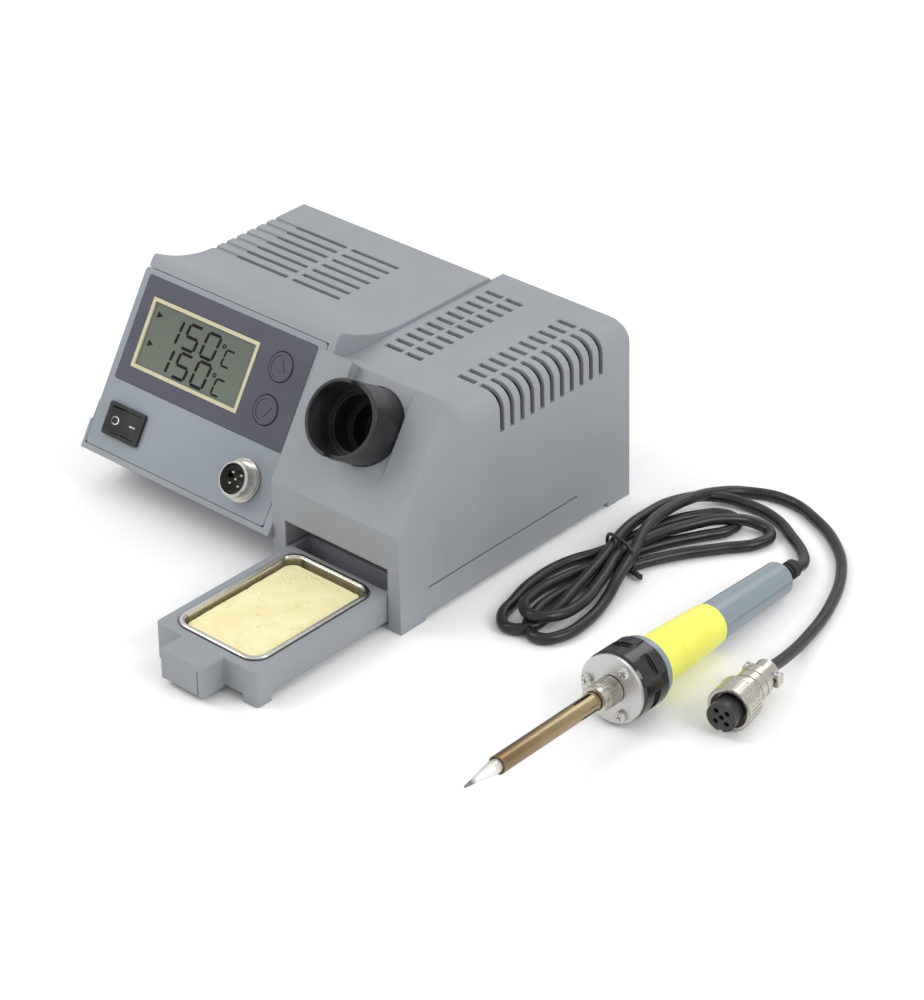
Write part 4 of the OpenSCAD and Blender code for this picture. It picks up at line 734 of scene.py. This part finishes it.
# ---- nut, flange and collar --------------------------------------------------------------------------
# Knurled nickel-plated nut on the flange's neck; a pressed steel flange with three cross-headed screws; and
# a glossy black Bakelite collar with cooling notches, which keeps the heat from the hand.
nickel = plated("satin_nickel", (0.54, 0.52, 0.46), 0.20)
dress("barrel_nut", "barrel_nut", nickel, "knurled_nut", 20)
disc_metal = Finish("pressed_flange", Metallic=1.0)
disc_mist = disc_metal.noise(5, detail=4)
disc_scratch = disc_metal.noise(0.5, stretch=(1, 6, 1), detail=4)
disc_metal.paint(Base_Color=disc_metal.mix(disc_mist, (0.54, 0.535, 0.53), (0.62, 0.615, 0.61)),
                 Roughness=disc_metal.ramp(disc_mist, 0.3, 0.7, 0.33, 0.48),
                 Normal=disc_metal.bump(disc_scratch, 0.01, disc_metal.rounded(0.3)))
dress("flange_disc", "iron", disc_metal.material, "flange_plate")
dress("flange_screws", "iron", chrome, "flange_screw_heads")
bakelite = gloss_black("black_bakelite", 0.13, (0.009, 0.009, 0.010), 0.45).material
dress("collar_ring", "iron", bakelite, "heat_collar", 30)

# ---- handle ------------------------------------------------------------------------------------------
# Tapered tube of blue-grey polypropylene, polished by the mould, with a fine parting line on each side and
# a stepped ring in front.
handle_skin = Finish("blue_grey_handle", IOR=1.49)
haze = handle_skin.noise(8, stretch=(3, 0.6, 3), detail=4)
handle_skin.paint(
    Base_Color=handle_skin.mix(haze, (0.195, 0.240, 0.272), (0.225, 0.272, 0.305)),
    Roughness=handle_skin.ramp(haze, 0.3, 0.7, 0.17, 0.27),
    Normal=handle_skin.bump(handle_skin.noise(1.5), 0.01, handle_skin.rounded(0.4)))
dress("handle_shell", "iron", handle_skin.material, "handle_tube", 40)
dress("handle_ring", "iron", handle_skin.material, "handle_front_ring", 20)
dress("strain_relief", "iron", rubber_black, "cord_relief", 40)

# ---- foam grip ---------------------------------------------------------------------------------------
# Sleeve of closed-cell neoprene foam, bright yellow, slid over the handle. Its skin is smooth with tiny
# open cells, it swells a little between its ends, and its cut edges are slightly crushed.
grip_start, grip_end = reach_of("foam_grip")
side_way = iron_axis.cross(Vector((0, 0, 1))).normalized()
up_way = side_way.cross(iron_axis).normalized()
grip_ring = [(v.co - iron_at) for v in frame["nodes"]["foam_grip"].data.vertices]


def grip_radii(at):
    """The outer and inner radius of the CAD sleeve near one of its ends."""
    near = [(p - iron_axis * p.dot(iron_axis)).length
            for p in grip_ring if abs(p.dot(iron_axis) - at) < 1 * MM]
    return max(near), min(near)


front_r, bore_r = grip_radii(grip_start)
back_r = grip_radii(grip_end)[0]
grip_long = grip_end - grip_start
edge_round = 0.9 * MM
profile = [(0, bore_r), (0, front_r - 1.3 * edge_round)]
for i in range(1, 6):
    turn = math.radians(i * 15)
    profile.append((edge_round * (1 - math.cos(turn)), front_r - 1.3 * edge_round * (1 - math.sin(turn))))
rows = 90
for i in range(rows + 1):
    share = i / rows
    arch = math.sin(math.pi * share)
    swell = 0.12 * MM * arch + 0.035 * MM * math.sin(share * 23 + 1.1) * arch
    run = edge_round + share * (grip_long - 2 * edge_round)
    profile.append((run, front_r + (back_r - front_r) * share + swell))
for i in range(5, 0, -1):
    turn = math.radians(i * 15)
    run = grip_long - edge_round * (1 - math.cos(turn))
    profile.append((run, back_r - edge_round * (1 - math.sin(turn))))
profile += [(grip_long, back_r - edge_round), (grip_long, bore_r)]
around = 128
sleeve_mesh = bmesh.new()
rings = []
for run, radius in profile:
    centre = iron_at + iron_axis * (grip_start + run)
    rings.append([sleeve_mesh.verts.new(centre + radius * (side_way * math.cos(t) + up_way * math.sin(t)))
                  for t in (2 * math.pi * k / around for k in range(around))])
for i in range(len(rings)):
    here, then = rings[i], rings[(i + 1) % len(rings)]
    for k in range(around):
        sleeve_mesh.faces.new((here[k], here[(k + 1) % around], then[(k + 1) % around], then[k]))
bmesh.ops.recalc_face_normals(sleeve_mesh, faces=sleeve_mesh.faces[:])
foam_data = bpy.data.meshes.new("foam_sleeve")
sleeve_mesh.to_mesh(foam_data)
sleeve_mesh.free()
foam = Finish("yellow_foam", Sheen_Weight=0.2, Sheen_Roughness=0.5, IOR=1.4)
cells, blush = foam.noise(0.45, detail=4, rough=0.7), foam.noise(12, detail=3)
foam_shade = foam.ramp(cells * 0.5 + blush * 0.5, 0.36, 0.6)
foam.paint(Base_Color=foam.mix(foam_shade, (0.76, 0.75, 0.095), (0.85, 0.84, 0.140)),
           Roughness=foam.ramp(cells, 0.3, 0.7, 0.62, 0.8), Normal=foam.bump(cells, 0.045))
foam_data.materials.append(foam.material)
foam_sleeve = linked("foam_sleeve", foam_data)
for polygon in foam_sleeve.data.polygons:
    polygon.use_smooth = True
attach(foam_sleeve, "iron")
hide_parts("foam_grip")

# ---- plug --------------------------------------------------------------------------------------------
# Nickel-plated 16 mm cord plug: a turned shell with a saddle clamp and two screws, a black insert with five
# sockets, and a knurled coupling ring that is free to turn.
dress("plug_shell", "iron", nickel, "plug_body")
dress("plug_clamp", "iron", nickel, "plug_saddle")
dress("clamp_screws", "iron", zinc, "saddle_screws")
dress("plug_insert", "iron", phenolic, "plug_block")
dress("coupling_ring", "coupling_ring", nickel, "knurled_ring", 20)
[c * MM for c in route[0]]

# ---- table -------------------------------------------------------------------------------------------
# Wide sheet of matt white paper under the object.
paper = Finish("white_paper", Roughness=0.9)
paper.paint(Base_Color=paper.mix(paper.noise(60, detail=2), (0.93, 0.93, 0.93), (0.95, 0.95, 0.95)))
bpy.ops.mesh.primitive_plane_add(size=12, location=(0, 0, -0.0002))
table = bpy.context.object
table.name = "table"
table.data.materials.append(paper.material)
